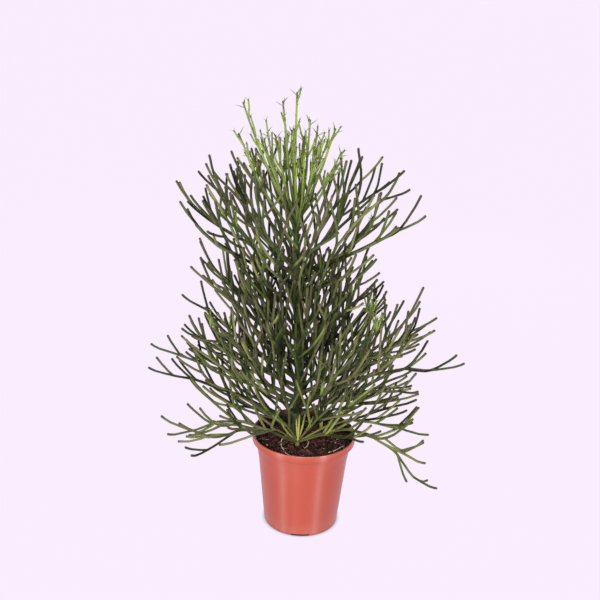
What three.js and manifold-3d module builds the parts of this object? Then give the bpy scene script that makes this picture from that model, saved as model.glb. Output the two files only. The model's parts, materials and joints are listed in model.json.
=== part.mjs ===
// A pencil euphorbia growing in a plastic nursery pot, in millimetres with +Z up. The origin is
// on the surface that the pot stands on, in the middle of its standing hub. +X is the plant's
// right-hand side and -Y is its front. Bearings are in degrees, from +X towards +Y.
import * as THREE from 'three';
import { mergeVertices } from 'three/addons/utils/BufferGeometryUtils.js';
import Module from 'manifold-3d';

const wasm = await Module();
wasm.setup();

// ---------------------------------------------------------------- driving dimensions

const POT = {
  height: 160,
  rimRadius: 85,
  collarHeight: 12, // the upright band below the rim
  collarRadius: 84.2, // at the band's lower edge
  flareHeight: 118, // where the wall starts to flare out to the collar
  flareRadius: 73,
  neckRadius: 80, // where the flare meets the collar
  baseRadius: 61.6,
  cornerRadius: 4,
  wall: 1.6,
  floorHeight: 4, // clear height under the floor
  hubRadius: 15, // the flat pad in the middle that the pot stands on
  segments: 36,
};
const DRAIN = {
  notches: 4,
  notchWidth: 30,
  notchHeight: 3.4,
  holes: 4,
  holeRadius: 5,
  holeCircle: 38,
  holeSides: 8,
};
const SOIL = {
  level: 149, // mean height of the peat
  bump: 1.6,
  bumpLength: 23,
  crumbLength: 9,
  rings: 5,
  segments: 28,
  gap: 0.3, // clearance to the pot, the stems and the roots
};
const STEM_DEPTH = 62; // how far a stem reaches down into the peat

const TWIG = {
  tipRadius: 1.9,
  sides: 3,
  stout: 1.2, // a three-sided section this much larger looks as thick as a round one
  thicker: 0.2, // how much thicker each order of twig is than the next
  attempts: 6, // how many ways a twig is turned before it is left out
  turnAgain: 53,
  forkAngle: 33,
  lift: 0.42, // how strongly new growth turns upward
  length: 50,
  straighter: 0.7, // how much of the fork angle the straighter of two new twigs takes
};
const BOUGH = {
  internode: 48,
  waver: 7, // how far a node may stand to the side of its bough's plain curve
  bendAt: 0.55, // where along its reach a bough's curve turns
  roll: 40, // how far round its bough a pair of sprays may be turned
  thickNodes: 4, // how many nodes from its tip a bough goes on thickening
  pairGap: 7, // the way between the two sprays that fork off together
  tipFork: 36, // how much of its reach is left to the two twigs that end it
  long: 3, // with more internodes than this, a bough's last sprays stay small
  swings: [0, 7, -7, 14, -14, 21, -21], // how far a blocked bough may be turned aside
};
const MAIN_STEM = {
  thicker: 0.42, // how much thicker its boughs get at each node towards it
  sprayOrder: 2, // how many times its largest sprays fork
};
const CLEARANCE = {
  sameStem: 0.4, // least gap between twigs of one plant that pass each other
  otherStem: 2, // and between twigs of two plants
  pot: 5, // how far growth keeps from the pot's rim and the peat
  rimInside: 8, // how wide the rim counts for that
  fork: 0.45, // the share of a twig that may lie close to what it grows from
};

// The trunk leans a little: [x, y, height, radius] from its buried end to its top.
const TRUNK = [
  [-14, 9, SOIL.level - STEM_DEPTH, 7.2],
  [-14, 9, 165, 8.2],
  [-11, 8, 250, 7.6],
  [-15, 7, 335, 7.0],
  [-21, 6, 415, 6.2],
  [-24, 6, 470, 5.6],
];
const TRUNK_POINTS = TRUNK.map(([x, y, z]) => new THREE.Vector3(x, y, z));
const TRUNK_TOP = TRUNK_POINTS.at(-1);

// The trunk's boughs, lowest first: [height on the trunk, bearing, reach, height of the tip, arch],
// where arch is how far the bough's middle stands above the straight line to its tip.
const BOUGHS = [
  [160, 140, 128, 226, 6], [162, 312, 116, 252, -4], [164, 112, 112, 250, -4], [166, 55, 106, 256, -4],
  [170, 188, 234, 262, 10], [175, 20, 178, 226, 10], [180, 135, 160, 258, 6], [185, 345, 196, 270, 8],
  [190, 245, 130, 285, 0], [195, 80, 150, 280, 0], [200, 298, 144, 300, 0],
  [205, 350, 244, 304, 20], [207, 205, 170, 300, 0],
  [210, 50, 146, 320, -5], [215, 177, 226, 290, 4], [221, 8, 212, 350, -4], [227, 225, 125, 345, -8],
  [233, 110, 130, 345, -8], [239, 320, 130, 360, -8], [225, 354, 190, 394, -14], [251, 178, 176, 380, -8],
  [257, 268, 108, 372, -8], [238, 192, 184, 342, -4], [263, 35, 118, 380, -8], [269, 145, 124, 392, -8],
  [275, 210, 122, 398, -8],
  [281, 18, 118, 404, -8], [288, 300, 98, 408, -8], [295, 88, 106, 412, -8], [302, 190, 164, 434, -5],
  [310, 330, 112, 420, -8], [318, 166, 172, 446, -8], [327, 60, 96, 434, -8], [336, 240, 84, 440, -8],
  [348, 352, 112, 452, -8], [360, 118, 104, 454, -8], [372, 285, 86, 460, -8], [382, 200, 112, 470, -8],
  [390, 335, 98, 470, -8], [397, 130, 102, 480, -8], [403, 245, 104, 488, -8], [409, 12, 118, 500, -6],
  [414, 190, 172, 514, -8], [419, 65, 110, 510, -8], [423, 285, 106, 514, -8], [427, 168, 196, 540, -4],
  [431, 350, 184, 530, -6], [434, 105, 104, 536, -8], [437, 225, 96, 544, -8], [440, 32, 96, 560, -6],
  [442, 183, 134, 572, -6], [444, 312, 86, 570, -8], [446, 148, 96, 584, -8], [448, 5, 140, 584, -6],
];

// The yellow-green growth on the trunk's top, tips first: [reach, bearing, height of the tip].
const SHOOTS = [
  [6, 190, 706], [84, 181, 688], [26, 178, 692], [52, 354, 656], [16, 330, 668], [90, 192, 646],
  [30, 250, 640], [58, 215, 630], [34, 40, 644], [46, 120, 632], [22, 290, 626], [64, 12, 618],
  [66, 150, 628], [40, 310, 618], [76, 168, 612], [30, 80, 632], [48, 236, 612], [44, 20, 636],
  [48, 183, 648], [36, 205, 636], [20, 130, 648], [34, 340, 640], [54, 60, 612], [38, 162, 640],
  [14, 60, 640], [60, 334, 606],
];
const SHOOT = {
  radius: 1.7,
  tipRadius: 1.2,
  stubRadius: 4.6,
  stubHeight: 44,
  spread: 30, // how far down the stub the lowest shoots start
  stubSides: 6,
  bendAt: 0.62, // where along its reach a shoot's curve turns
  bendHeight: 0.45, // and how far up
};
const LEAF = {
  length: 15,
  width: 2.4,
  thickness: 0.7,
  angle: 42,
  count: 2,
  spacing: 3,
  widestAt: 0.45,
};

// Two lesser cuttings share the pot: where each stands and its boughs, as for the trunk.
const FRONT_CUTTING = {
  foot: [-10, -30],
  radius: 4.2,
  top: 160,
  thicker: 0.12,
  sprayOrder: 1,
  boughs: [
    [156, 182, 206, 176, 22], [157, 192, 184, 164, 30], [157, 354, 226, 104, 50],
    [158, 4, 196, 190, 22], [159, 208, 120, 214, 12],
    [159, 160, 146, 212, 14], [159, 26, 136, 222, 10],
    [160, 222, 66, 246, 0], [160, 318, 62, 242, 0], [158, 340, 132, 206, 10],
  ],
};
const REAR_CUTTING = {
  foot: [28, 34],
  radius: 3.8,
  top: 168,
  thicker: 0.12,
  sprayOrder: 1,
  boughs: [
    [160, 75, 150, 186, 26], [162, 352, 124, 226, 12], [164, 130, 122, 232, 12],
    [165, 60, 80, 286, 0], [166, 104, 80, 280, 0], [167, 20, 60, 290, 0], [163, 40, 130, 236, 8],
  ],
};

// Thin pale roots that curl over the peat: [x, y] points of each.
const SURFACE_ROOTS = [
  [[-27, 4], [-35, -14], [-36, -34], [-32, -52], [-23, -66], [-7, -72]],
  [[5, -12], [8, -24], [6, -34], [2, -42]],
  [[36, 4], [42, 9], [48, 4], [46, -6]],
  [[40, -52], [50, -47], [58, -40], [65, -31]],
];
const ROOT_RADIUS = 0.8;

const LOOKS = {
  pot: { color: 0xd0604c, roughness: 0.42 },
  soil: { color: 0x3a2019, roughness: 0.95 },
  stem: { color: 0x55683f, roughness: 0.6 },
  shoot: { color: 0x84a840, roughness: 0.55 },
  cutting: { color: 0x7c8a4c, roughness: 0.6 },
  root: { color: 0xcbb592, roughness: 0.8 },
};

const UPRIGHT = 0.05; // below this lean, a direction counts as straight up
const STEM_SIDES = 8; // of the trunk and of the cuttings' feet
const CLOSING_IN = 12; // rounds that find how near two straight pieces come

// ---------------------------------------------------------------- small helpers

/** A seeded number from 0 to 1: the same keys always give the same number. */
function draw(...keys) {
  let hash = 2166136261;
  for (const key of keys) {
    hash = Math.imul(hash ^ key, 16777619);
    hash = Math.imul(hash ^ (hash >>> 15), 2246822519);
    hash ^= hash >>> 13;
  }
  return (hash >>> 0) / 4294967296;
}

/** A seeded number from low to high. */
function between(low, high, ...keys) {
  return low + (high - low) * draw(...keys);
}

/** The horizontal unit vector at a bearing. */
function heading(degrees) {
  const angle = THREE.MathUtils.degToRad(degrees);
  return new THREE.Vector3(Math.cos(angle), Math.sin(angle), 0);
}

/** The solid that a closed geometry bounds. */
function solidOf(geometry) {
  const bare = geometry.clone();
  bare.deleteAttribute('normal');
  bare.deleteAttribute('uv');
  const merged = mergeVertices(bare, 1e-4);
  return new wasm.Manifold(new wasm.Mesh({
    numProp: 3,
    vertProperties: new Float32Array(merged.attributes.position.array),
    triVerts: new Uint32Array(merged.index.array),
  }));
}

/** The geometry of a solid. */
function geometryOf(solid) {
  const mesh = solid.getMesh();
  const geometry = new THREE.BufferGeometry();
  geometry.setAttribute('position', new THREE.BufferAttribute(mesh.vertProperties, mesh.numProp));
  geometry.setIndex(new THREE.BufferAttribute(mesh.triVerts, 1));
  geometry.computeVertexNormals();
  return geometry;
}

/** All the solids joined into one. */
function join(solids) {
  return solids.reduce((joined, solid) => joined.add(solid));
}

/** A named mesh in one of the looks. */
function namedMesh(name, geometry, look) {
  const material = new THREE.MeshStandardMaterial({ ...look, metalness: 0 });
  const mesh = new THREE.Mesh(geometry, material);
  mesh.name = name;
  return mesh;
}

/** A closed geometry swept through points, with a flat-ended section of its own radius at each. */
function sweep(points, radii, sides) {
  const ring = new THREE.Vector3();
  const positions = [];
  const first = points[1].clone().sub(points[0]).normalize();
  const across = new THREE.Vector3(0, 0, 1).cross(first);
  if (across.length() < UPRIGHT) across.set(1, 0, 0).projectOnPlane(first);
  points.forEach((point, i) => {
    const ahead = points[Math.min(i + 1, points.length - 1)];
    const behind = points[Math.max(i - 1, 0)];
    const along = ahead.clone().sub(behind).normalize();
    across.projectOnPlane(along).normalize();
    const up = along.clone().cross(across);
    for (let side = 0; side < sides; side += 1) {
      const turn = (2 * Math.PI * side) / sides;
      ring.copy(point);
      ring.addScaledVector(across, radii[i] * Math.cos(turn));
      ring.addScaledVector(up, radii[i] * Math.sin(turn));
      positions.push(ring.x, ring.y, ring.z);
    }
  });
  const geometry = new THREE.BufferGeometry();
  geometry.setAttribute('position', new THREE.Float32BufferAttribute(positions, 3));
  geometry.setIndex(sweepFaces(points.length, sides));
  return geometry;
}

/** The triangles of a swept section: its walls, then its two flat ends. */
function sweepFaces(rings, sides) {
  const faces = [];
  for (let ring = 0; ring < rings - 1; ring += 1) {
    for (let side = 0; side < sides; side += 1) {
      const here = ring * sides + side;
      const next = ring * sides + ((side + 1) % sides);
      faces.push(here, next, next + sides, here, next + sides, here + sides);
    }
  }
  const last = (rings - 1) * sides;
  for (let side = 1; side < sides - 1; side += 1) {
    faces.push(0, side + 1, side, last, last + side, last + side + 1);
  }
  return faces;
}

// ---------------------------------------------------------------- pot

/** Half of the pot's wall in section, from the middle of its hub round to the middle of its floor. */
function potOutline() {
  const corner = POT.cornerRadius;
  const arc = (turn) => new THREE.Vector2(
    POT.baseRadius - corner + corner * Math.sin(turn),
    corner - corner * Math.cos(turn),
  );
  const collarBottom = POT.height - POT.collarHeight;
  const flareMiddle = (POT.flareHeight + collarBottom) / 2;
  const outside = [
    new THREE.Vector2(0, 0),
    new THREE.Vector2(POT.hubRadius, 0),
    new THREE.Vector2(POT.hubRadius + 1, POT.floorHeight),
    new THREE.Vector2(POT.baseRadius - corner - POT.wall, POT.floorHeight),
    new THREE.Vector2(POT.baseRadius - corner - POT.wall, 0),
    arc(0),
    arc(Math.PI / 4),
    arc(Math.PI / 2),
    new THREE.Vector2(POT.flareRadius, POT.flareHeight),
    new THREE.Vector2((POT.flareRadius + POT.neckRadius) / 2 - 0.8, flareMiddle),
    new THREE.Vector2(POT.neckRadius, collarBottom),
    new THREE.Vector2(POT.collarRadius, collarBottom),
    new THREE.Vector2(POT.rimRadius, POT.height - 1),
    new THREE.Vector2(POT.rimRadius - 1, POT.height),
  ];
  const inside = [
    new THREE.Vector2(POT.rimRadius - POT.wall - 0.6, POT.height),
    new THREE.Vector2(POT.collarRadius - POT.wall, collarBottom + POT.wall),
    new THREE.Vector2(POT.neckRadius - POT.wall, collarBottom + POT.wall),
    new THREE.Vector2((POT.flareRadius + POT.neckRadius) / 2 - 0.8 - POT.wall, flareMiddle),
    new THREE.Vector2(POT.flareRadius - POT.wall, POT.flareHeight),
    new THREE.Vector2(POT.baseRadius - POT.wall, POT.floorHeight + POT.wall),
    new THREE.Vector2(0, POT.floorHeight + POT.wall),
  ];
  return outside.concat(inside);
}

/** A closed solid of revolution about +Z from an outline that starts and ends on the axis. */
function turned(outline, segments) {
  const geometry = new THREE.LatheGeometry(outline, segments);
  geometry.rotateX(Math.PI / 2);
  return solidOf(geometry);
}

/** The notches round the foot and the holes in the floor, as solids to cut away. */
function drainCutters() {
  const cutters = [];
  for (let i = 0; i < DRAIN.notches; i += 1) {
    const notch = new THREE.BoxGeometry(2 * POT.cornerRadius + 8, DRAIN.notchWidth, 2 * DRAIN.notchHeight);
    notch.translate(POT.baseRadius, 0, 0);
    notch.rotateZ((2 * Math.PI * i) / DRAIN.notches);
    cutters.push(solidOf(notch));
  }
  for (let i = 0; i < DRAIN.holes; i += 1) {
    const height = 4 * POT.floorHeight;
    const hole = new THREE.CylinderGeometry(DRAIN.holeRadius, DRAIN.holeRadius, height, DRAIN.holeSides);
    hole.rotateX(Math.PI / 2);
    hole.translate(DRAIN.holeCircle, 0, POT.floorHeight);
    hole.rotateZ((2 * Math.PI * (i + 0.5)) / DRAIN.holes);
    cutters.push(solidOf(hole));
  }
  return cutters;
}

/** The pot, with its foot notched and its floor holed so that water runs out. */
function makePot() {
  const shell = turned(potOutline(), POT.segments);
  return drainCutters().reduce((pot, cutter) => pot.subtract(cutter), shell);
}

// ---------------------------------------------------------------- soil

/** The height of the crumbly peat at a place. */
function soilHeight(x, y) {
  const slow = Math.sin(x / SOIL.bumpLength + 0.7) * Math.cos(y / SOIL.bumpLength - 0.4);
  const quick = Math.sin((x - y) / SOIL.crumbLength) * Math.sin((x + 2 * y) / (1.5 * SOIL.crumbLength));
  return SOIL.level + SOIL.bump * (0.7 * slow + 0.5 * quick);
}

/** The peat plug before the stems are let into it: flat below, crumbly on top. */
function peatPlug() {
  const ledge = POT.height - POT.collarHeight + POT.wall + SOIL.gap;
  const outline = [
    [0, POT.floorHeight + POT.wall + SOIL.gap],
    [POT.baseRadius - POT.wall - SOIL.gap, POT.floorHeight + POT.wall + SOIL.gap],
    [POT.flareRadius - POT.wall - SOIL.gap, POT.flareHeight],
    [(POT.flareRadius + POT.neckRadius) / 2 - 0.9 - POT.wall - SOIL.gap, (POT.flareHeight + ledge) / 2 - 1],
    [POT.neckRadius - POT.wall - SOIL.gap - 0.4, ledge - 1],
  ].map(([radius, height]) => new THREE.Vector2(radius, height));
  const rim = outline.at(-1);
  for (let ring = SOIL.rings; ring >= 0; ring -= 1) {
    outline.push(new THREE.Vector2((rim.x * ring) / SOIL.rings, SOIL.level));
  }
  const geometry = new THREE.LatheGeometry(outline, SOIL.segments);
  geometry.rotateX(Math.PI / 2);
  const place = geometry.attributes.position;
  for (let i = 0; i < place.count; i += 1) {
    if (place.getZ(i) === SOIL.level) place.setZ(i, soilHeight(place.getX(i), place.getY(i)));
  }
  return solidOf(geometry);
}

/** The peat, with a plain hole for each stem and a groove under each root that lies on it. */
function makeSoil(feet, roots) {
  let peat = peatPlug();
  for (const { foot: [x, y], radius } of feet) {
    const top = SOIL.level + 20;
    const bottom = SOIL.level - STEM_DEPTH - SOIL.gap;
    const hole = new THREE.CylinderGeometry(radius + SOIL.gap, radius + SOIL.gap, top - bottom, 10);
    hole.rotateX(Math.PI / 2);
    hole.translate(x, y, (top + bottom) / 2);
    peat = peat.subtract(solidOf(hole));
  }
  for (const route of roots) {
    peat = peat.subtract(rootSolid(route, ROOT_RADIUS + SOIL.gap, ROOT_RADIUS));
  }
  return peat;
}

/** A root lying half sunk in the peat, as a tube of the given radius, lengthened at both ends. */
function rootSolid(route, radius, lengthen) {
  const curve = new THREE.CatmullRomCurve3(
    route.map(([x, y]) => new THREE.Vector3(x, y, soilHeight(x, y) + 0.4 * ROOT_RADIUS)),
  );
  const points = curve.getPoints(route.length + 2);
  const start = points[0].clone().sub(points[1]).setLength(lengthen);
  const end = points.at(-1).clone().sub(points.at(-2)).setLength(lengthen);
  points[0].add(start);
  points.at(-1).add(end);
  return solidOf(sweep(points, points.map(() => radius), 4));
}

// ---------------------------------------------------------------- growth

/** The least distance between a straight piece and a point. */
function distanceTo({ start, end }, point) {
  return new THREE.Line3(start, end).closestPointToPoint(point, true, new THREE.Vector3()).distanceTo(point);
}

/** The least distance between two straight pieces, found by closing in on it from both. */
function distanceApart(first, second) {
  const a = new THREE.Line3(first.start, first.end);
  const b = new THREE.Line3(second.start, second.end);
  const onA = new THREE.Vector3();
  const onB = first.start.clone();
  for (let turn = 0; turn < CLOSING_IN; turn += 1) {
    a.closestPointToPoint(onB, true, onA);
    b.closestPointToPoint(onA, true, onB);
  }
  return onA.distanceTo(onB);
}

/** Whether a point is too near the pot's rim or the peat. */
function isInPot({ x, y, z }) {
  const radius = Math.hypot(x, y);
  const gap = CLEARANCE.pot;
  const nearRim = radius > POT.rimRadius - CLEARANCE.rimInside && radius < POT.rimRadius + gap;
  return (z < POT.height + gap && nearRim) || (z < SOIL.level + gap && radius < POT.rimRadius);
}

/** Whether a new internode keeps its clearance from every stem that is there already. */
function isClear(twig, plant) {
  const along = (share) => twig.start.clone().lerp(twig.end, share);
  if ([0.2, 0.4, 0.6, 0.8, 1].some((share) => isInPot(along(share)))) return false;
  const outer = { ...twig, start: along(CLEARANCE.fork) };
  return plant.every((other) => {
    const same = other.stem === twig.stem;
    const joined = same && distanceTo(other, twig.start) < 2 * BOUGH.pairGap;
    const gap = same ? CLEARANCE.sameStem : CLEARANCE.otherStem;
    const least = TWIG.stout * (twig.radius + other.radius) + gap;
    return distanceApart(joined ? outer : twig, other) > least;
  });
}

/** A node of the plant: where a stem forks, bends or ends, and the stem that it belongs to. */
function makeNode(stem, at, radius) {
  return { stem, at, radius, children: [] };
}

/** The direction of new growth that leaves a stem at an angle, turned round it and lifted. */
function forkDirection(along, angle, turn, lift) {
  const side = new THREE.Vector3(-along.y, along.x, 0);
  if (side.length() < UPRIGHT) side.set(1, 0, 0);
  side.projectOnPlane(along).normalize().applyAxisAngle(along, THREE.MathUtils.degToRad(turn));
  const fork = THREE.MathUtils.degToRad(angle);
  const direction = along.clone().multiplyScalar(Math.cos(fork)).addScaledVector(side, Math.sin(fork));
  direction.z += lift;
  return direction.normalize();
}

/** Adds an internode to a node where it keeps clear, and gives back the node at its end. */
function addInternode(plant, node, end, radius) {
  const { stem } = node;
  const twig = { stem, start: node.at, end, radius: Math.max(radius, node.radius) };
  if (!isClear(twig, plant)) return null;
  plant.push(twig);
  const child = makeNode(stem, end, radius);
  node.children.push(child);
  return child;
}

/** Grows a spray from a node: an internode that forks in two, as many times as its order. */
function growSpray(plant, node, along, angle, turn, order, key) {
  const radius = TWIG.tipRadius + TWIG.thicker * order;
  const length = TWIG.length * between(0.75, 1.25, key, 14);
  let child = null;
  let direction = null;
  for (let attempt = 0; attempt < TWIG.attempts && !child; attempt += 1) {
    direction = forkDirection(along, angle, turn + TWIG.turnAgain * attempt, TWIG.lift);
    const end = node.at.clone().addScaledVector(direction, length);
    child = addInternode(plant, node, end, radius);
  }
  if (!child || order === 0) return;
  const fork = TWIG.forkAngle * between(0.75, 1.2, key, 13);
  const turned = between(0, 360, key, 12);
  growSpray(plant, child, direction, TWIG.straighter * fork, turned, order - 1, 3 * key + 1);
  growSpray(plant, child, direction, fork, turned + 180, order - 1, 3 * key + 2);
}

/** The points of a bough, from the stem out to the node that its last two twigs fork from. */
function boughRoute(root, [, bearing, reach, tipHeight, arch], key) {
  const out = heading(bearing);
  const tip = root.clone().addScaledVector(out, reach).setZ(tipHeight);
  const toTip = tip.clone().sub(root).normalize();
  const end = tip.addScaledVector(toTip, -BOUGH.tipFork);
  const bend = root.clone().lerp(end, BOUGH.bendAt);
  bend.z += 2 * arch;
  const curve = new THREE.QuadraticBezierCurve3(root, bend, end);
  const count = Math.max(2, Math.round(curve.getLength() / BOUGH.internode));
  const points = curve.getPoints(count);
  const aside = new THREE.Vector3(-out.y, out.x, 0);
  for (let i = 1; i < count; i += 1) {
    points[i].addScaledVector(aside, BOUGH.waver * between(-1, 1, key, i, 21));
  }
  return points;
}

/** Whether a whole bough keeps clear along its route, given its radius at each point. */
function isRouteClear(plant, stem, route, radii) {
  return route.slice(1).every((end, i) => (
    isClear({ stem, start: route[i], end, radius: radii[i] }, plant)
  ));
}

/** The route of a bough, swung a little to one side where its own bearing is blocked. */
function openRoute(plant, stem, root, [height, bearing, ...rest], key) {
  let widest = null;
  for (const swing of BOUGH.swings) {
    const route = boughRoute(root, [height, bearing + swing, ...rest], key);
    const last = route.length - 1;
    const radii = route.map((_, i) => (
      TWIG.tipRadius + stem.thicker * Math.min(last - i, BOUGH.thickNodes)
    ));
    if (isRouteClear(plant, stem, route, radii)) return { route, radii };
    widest = widest ?? { route, radii };
  }
  return widest;
}

/**
 * Grows the main line of a bough and gives back its base and the places where sprays fork off it in
 * pairs: from two nodes close together along the line, and from one node at its end.
 */
function growBoughLine(plant, stem, root, bough, key) {
  const { route, radii } = openRoute(plant, stem, root, bough, key);
  const last = route.length - 1;
  const base = makeNode(stem, root, radii[0]);
  const plainEnd = last > BOUGH.long ? 1 : 0;
  const forks = [];
  let node = base;
  for (let i = 1; i <= last; i += 1) {
    const along = route[i].clone().sub(route[i - 1]).normalize();
    node = addInternode(plant, node, route[i], radii[i]);
    if (!node) break;
    const near = node;
    if (i < last) {
      along.copy(route[i + 1]).sub(route[i]).normalize();
      node = makeNode(stem, route[i].clone().addScaledVector(along, BOUGH.pairGap), radii[i]);
      near.children.push(node);
    }
    const order = THREE.MathUtils.clamp(last - i - plainEnd, 0, stem.sprayOrder);
    forks.push({ near, far: node, along, order, key: 31 * key + i });
  }
  return { base, forks };
}

/** Grows the pair of sprays that fork off at one place on a bough. */
function growPair(plant, { near, far, along, order, key }) {
  const roll = between(-BOUGH.roll, BOUGH.roll, key, 31);
  [near, far].forEach((node, i) => {
    const angle = TWIG.forkAngle * between(0.85, 1.3, key, i, 32);
    growSpray(plant, node, along, angle, roll + 180 * i, order, 7 * key + i);
  });
}

/** Grows the main lines of a stem's boughs, the longest first. */
function growBoughs(plant, stem, boughs, rootOf, key) {
  const seeded = boughs.map((bough, i) => ({ bough, seed: key + i }));
  seeded.sort((a, b) => b.bough[2] - a.bough[2]);
  const lines = seeded.map(({ bough, seed }) => (
    growBoughLine(plant, stem, rootOf(bough[0]), bough, seed)
  ));
  return lines.filter(({ base }) => base.children.length > 0);
}

/** Grows the sprays of a set of boughs. */
function growSprays(plant, lines) {
  for (const { forks } of lines) forks.forEach((fork) => growPair(plant, fork));
}

// ---------------------------------------------------------------- skin

/** A ring of points round a centre, counted round the growth direction from a given side. */
function addRing(skin, centre, along, from, radius, sides) {
  const across = from.clone().projectOnPlane(along).normalize();
  const up = along.clone().cross(across);
  return Array.from({ length: sides }, (_, side) => {
    const turn = (2 * Math.PI * side) / sides;
    const point = centre.clone().addScaledVector(across, radius * Math.cos(turn));
    skin.points.push(point.addScaledVector(up, radius * Math.sin(turn)));
    return skin.points.length - 1;
  });
}

/** Each point of a ring as seen along a direction from the ring's own middle. */
function seenAlong(skin, ring, along) {
  const points = ring.map((index) => skin.points[index]);
  const middle = points.reduce((sum, point) => sum.add(point), new THREE.Vector3());
  middle.divideScalar(points.length);
  return points.map((point) => point.clone().sub(middle).projectOnPlane(along));
}

/** Stitches the wall between two rings with the least twist. */
function stitch(skin, lower, upper, along) {
  const below = seenAlong(skin, lower, along);
  const above = seenAlong(skin, upper, along);
  const angleTo = (i, j) => below[i % lower.length].angleTo(above[j % upper.length]);
  let offset = 0;
  for (let j = 1; j < upper.length; j += 1) if (angleTo(0, j) < angleTo(0, offset)) offset = j;
  let i = 0;
  let j = 0;
  while (i < lower.length || j < upper.length) {
    const low = lower[i % lower.length];
    const high = upper[(offset + j) % upper.length];
    const stepLower = j === upper.length || angleTo(i + 1, offset + j) < angleTo(i, offset + j + 1);
    if (i < lower.length && stepLower) {
      i += 1;
      skin.faces.push(low, lower[i % lower.length], high);
    } else {
      j += 1;
      skin.faces.push(low, upper[(offset + j) % upper.length], high);
    }
  }
}

/** Skins what grows from a node: a three-sided tube that splits along its middle at each fork. */
function skinFrom(skin, ring, node, child) {
  const along = child.at.clone().sub(node.at).normalize();
  const radius = TWIG.stout * child.radius;
  const [first, second] = child.children;
  if (!second) {
    const onward = first ? first.at.clone().sub(node.at).normalize() : along;
    const from = seenAlong(skin, ring, along)[0];
    const next = addRing(skin, child.at, onward, from, radius, TWIG.sides);
    stitch(skin, ring, next, along);
    if (first) skinFrom(skin, next, child, first);
    else skin.faces.push(...next);
    return;
  }
  const toFirst = first.at.clone().sub(child.at).normalize();
  const toSecond = second.at.clone().sub(child.at).normalize();
  const onward = along.clone().add(toFirst).add(toSecond).normalize();
  const next = addRing(skin, child.at, onward, toFirst.clone().sub(toSecond), radius, 4);
  stitch(skin, ring, next, along);
  skinFrom(skin, [next[3], next[0], next[1]], child, first);
  skinFrom(skin, [next[1], next[2], next[3]], child, second);
}

/** The solid of a whole bough from the node at its base. */
function boughSolid({ base }) {
  const skin = { points: [], faces: [] };
  const [child] = base.children;
  const along = child.at.clone().sub(base.at).normalize();
  const up = new THREE.Vector3(0, 0, 1);
  const ring = addRing(skin, base.at, along, up, TWIG.stout * base.radius, TWIG.sides);
  skin.faces.push(ring[0], ring[2], ring[1]);
  skinFrom(skin, ring, base, child);
  const geometry = new THREE.BufferGeometry().setFromPoints(skin.points);
  geometry.setIndex(skin.faces);
  return solidOf(geometry);
}

// ---------------------------------------------------------------- stems

/** The point of the trunk at a height. */
function trunkPoint(height) {
  const above = TRUNK.findIndex(([, , z]) => z >= height);
  const [x0, y0, z0] = TRUNK[above - 1];
  const [x1, y1, z1] = TRUNK[above];
  const share = (height - z0) / (z1 - z0);
  return new THREE.Vector3(x0 + share * (x1 - x0), y0 + share * (y1 - y0), height);
}

/** The trunk joined with all its boughs. */
function mainStemSolid(boughs) {
  const trunk = sweep(TRUNK_POINTS, TRUNK.map(([, , , radius]) => radius), STEM_SIDES);
  return join([solidOf(trunk), ...boughs.map(boughSolid)]);
}

/** Grows a lesser cutting: its foot in the peat and the main lines of its boughs. */
function growCutting(plant, cutting, key) {
  const { foot: [x, y], radius, top, boughs } = cutting;
  const start = new THREE.Vector3(x, y, SOIL.level - STEM_DEPTH);
  const end = new THREE.Vector3(x, y, top);
  plant.push(...piecesOf(cutting, [start, end], [radius]));
  return growBoughs(plant, cutting, boughs, (height) => end.clone().setZ(height), key);
}

/** The solid of a lesser cutting. */
function cuttingSolid({ foot: [x, y], radius, top }, boughs) {
  const points = [SOIL.level - STEM_DEPTH, top].map((height) => new THREE.Vector3(x, y, height));
  return join([solidOf(sweep(points, [radius, radius], STEM_SIDES)), ...boughs.map(boughSolid)]);
}

// ---------------------------------------------------------------- young shoots

/** The nodes of a young shoot, rising almost straight from the stub on the trunk's top. */
function shootNodes(stub, [reach, bearing, tipHeight], key) {
  const root = stub.clone().setZ(stub.z - between(0, SHOOT.spread, key, 42));
  const tip = root.clone().addScaledVector(heading(bearing), reach).setZ(tipHeight);
  const bend = root.clone().addScaledVector(heading(bearing), SHOOT.bendAt * reach);
  bend.z = root.z + SHOOT.bendHeight * (tipHeight - root.z);
  const nodes = new THREE.QuadraticBezierCurve3(root, bend, tip).getPoints(2);
  nodes[1].x += between(-3, 3, key, 41);
  return nodes;
}

/** The nodes of each young shoot. */
function shootLines(stub) {
  return SHOOTS.map((shoot, i) => shootNodes(stub, shoot, i));
}

/** The space that the leaves at a shoot's tip take up, as the clearance test sees it. */
function leafSpace([, middle, tip]) {
  const along = tip.clone().sub(middle).setLength(LEAF.length);
  const radius = (0.7 * LEAF.length) / TWIG.stout;
  const start = tip.clone().addScaledVector(along, -0.6);
  return { stem: SHOOT, start, end: tip.clone().add(along), radius };
}

/** A narrow leaf that tapers to a point, standing off a shoot. */
function leafSolid(root, along, turn) {
  const direction = forkDirection(along, LEAF.angle, turn, 0);
  const tip = root.clone().addScaledVector(direction, LEAF.length);
  const middle = root.clone().lerp(tip, LEAF.widestAt);
  const radii = [LEAF.thickness, LEAF.width / 2, LEAF.thickness / 2];
  return solidOf(sweep([root, middle, tip], radii, TWIG.sides));
}

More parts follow.
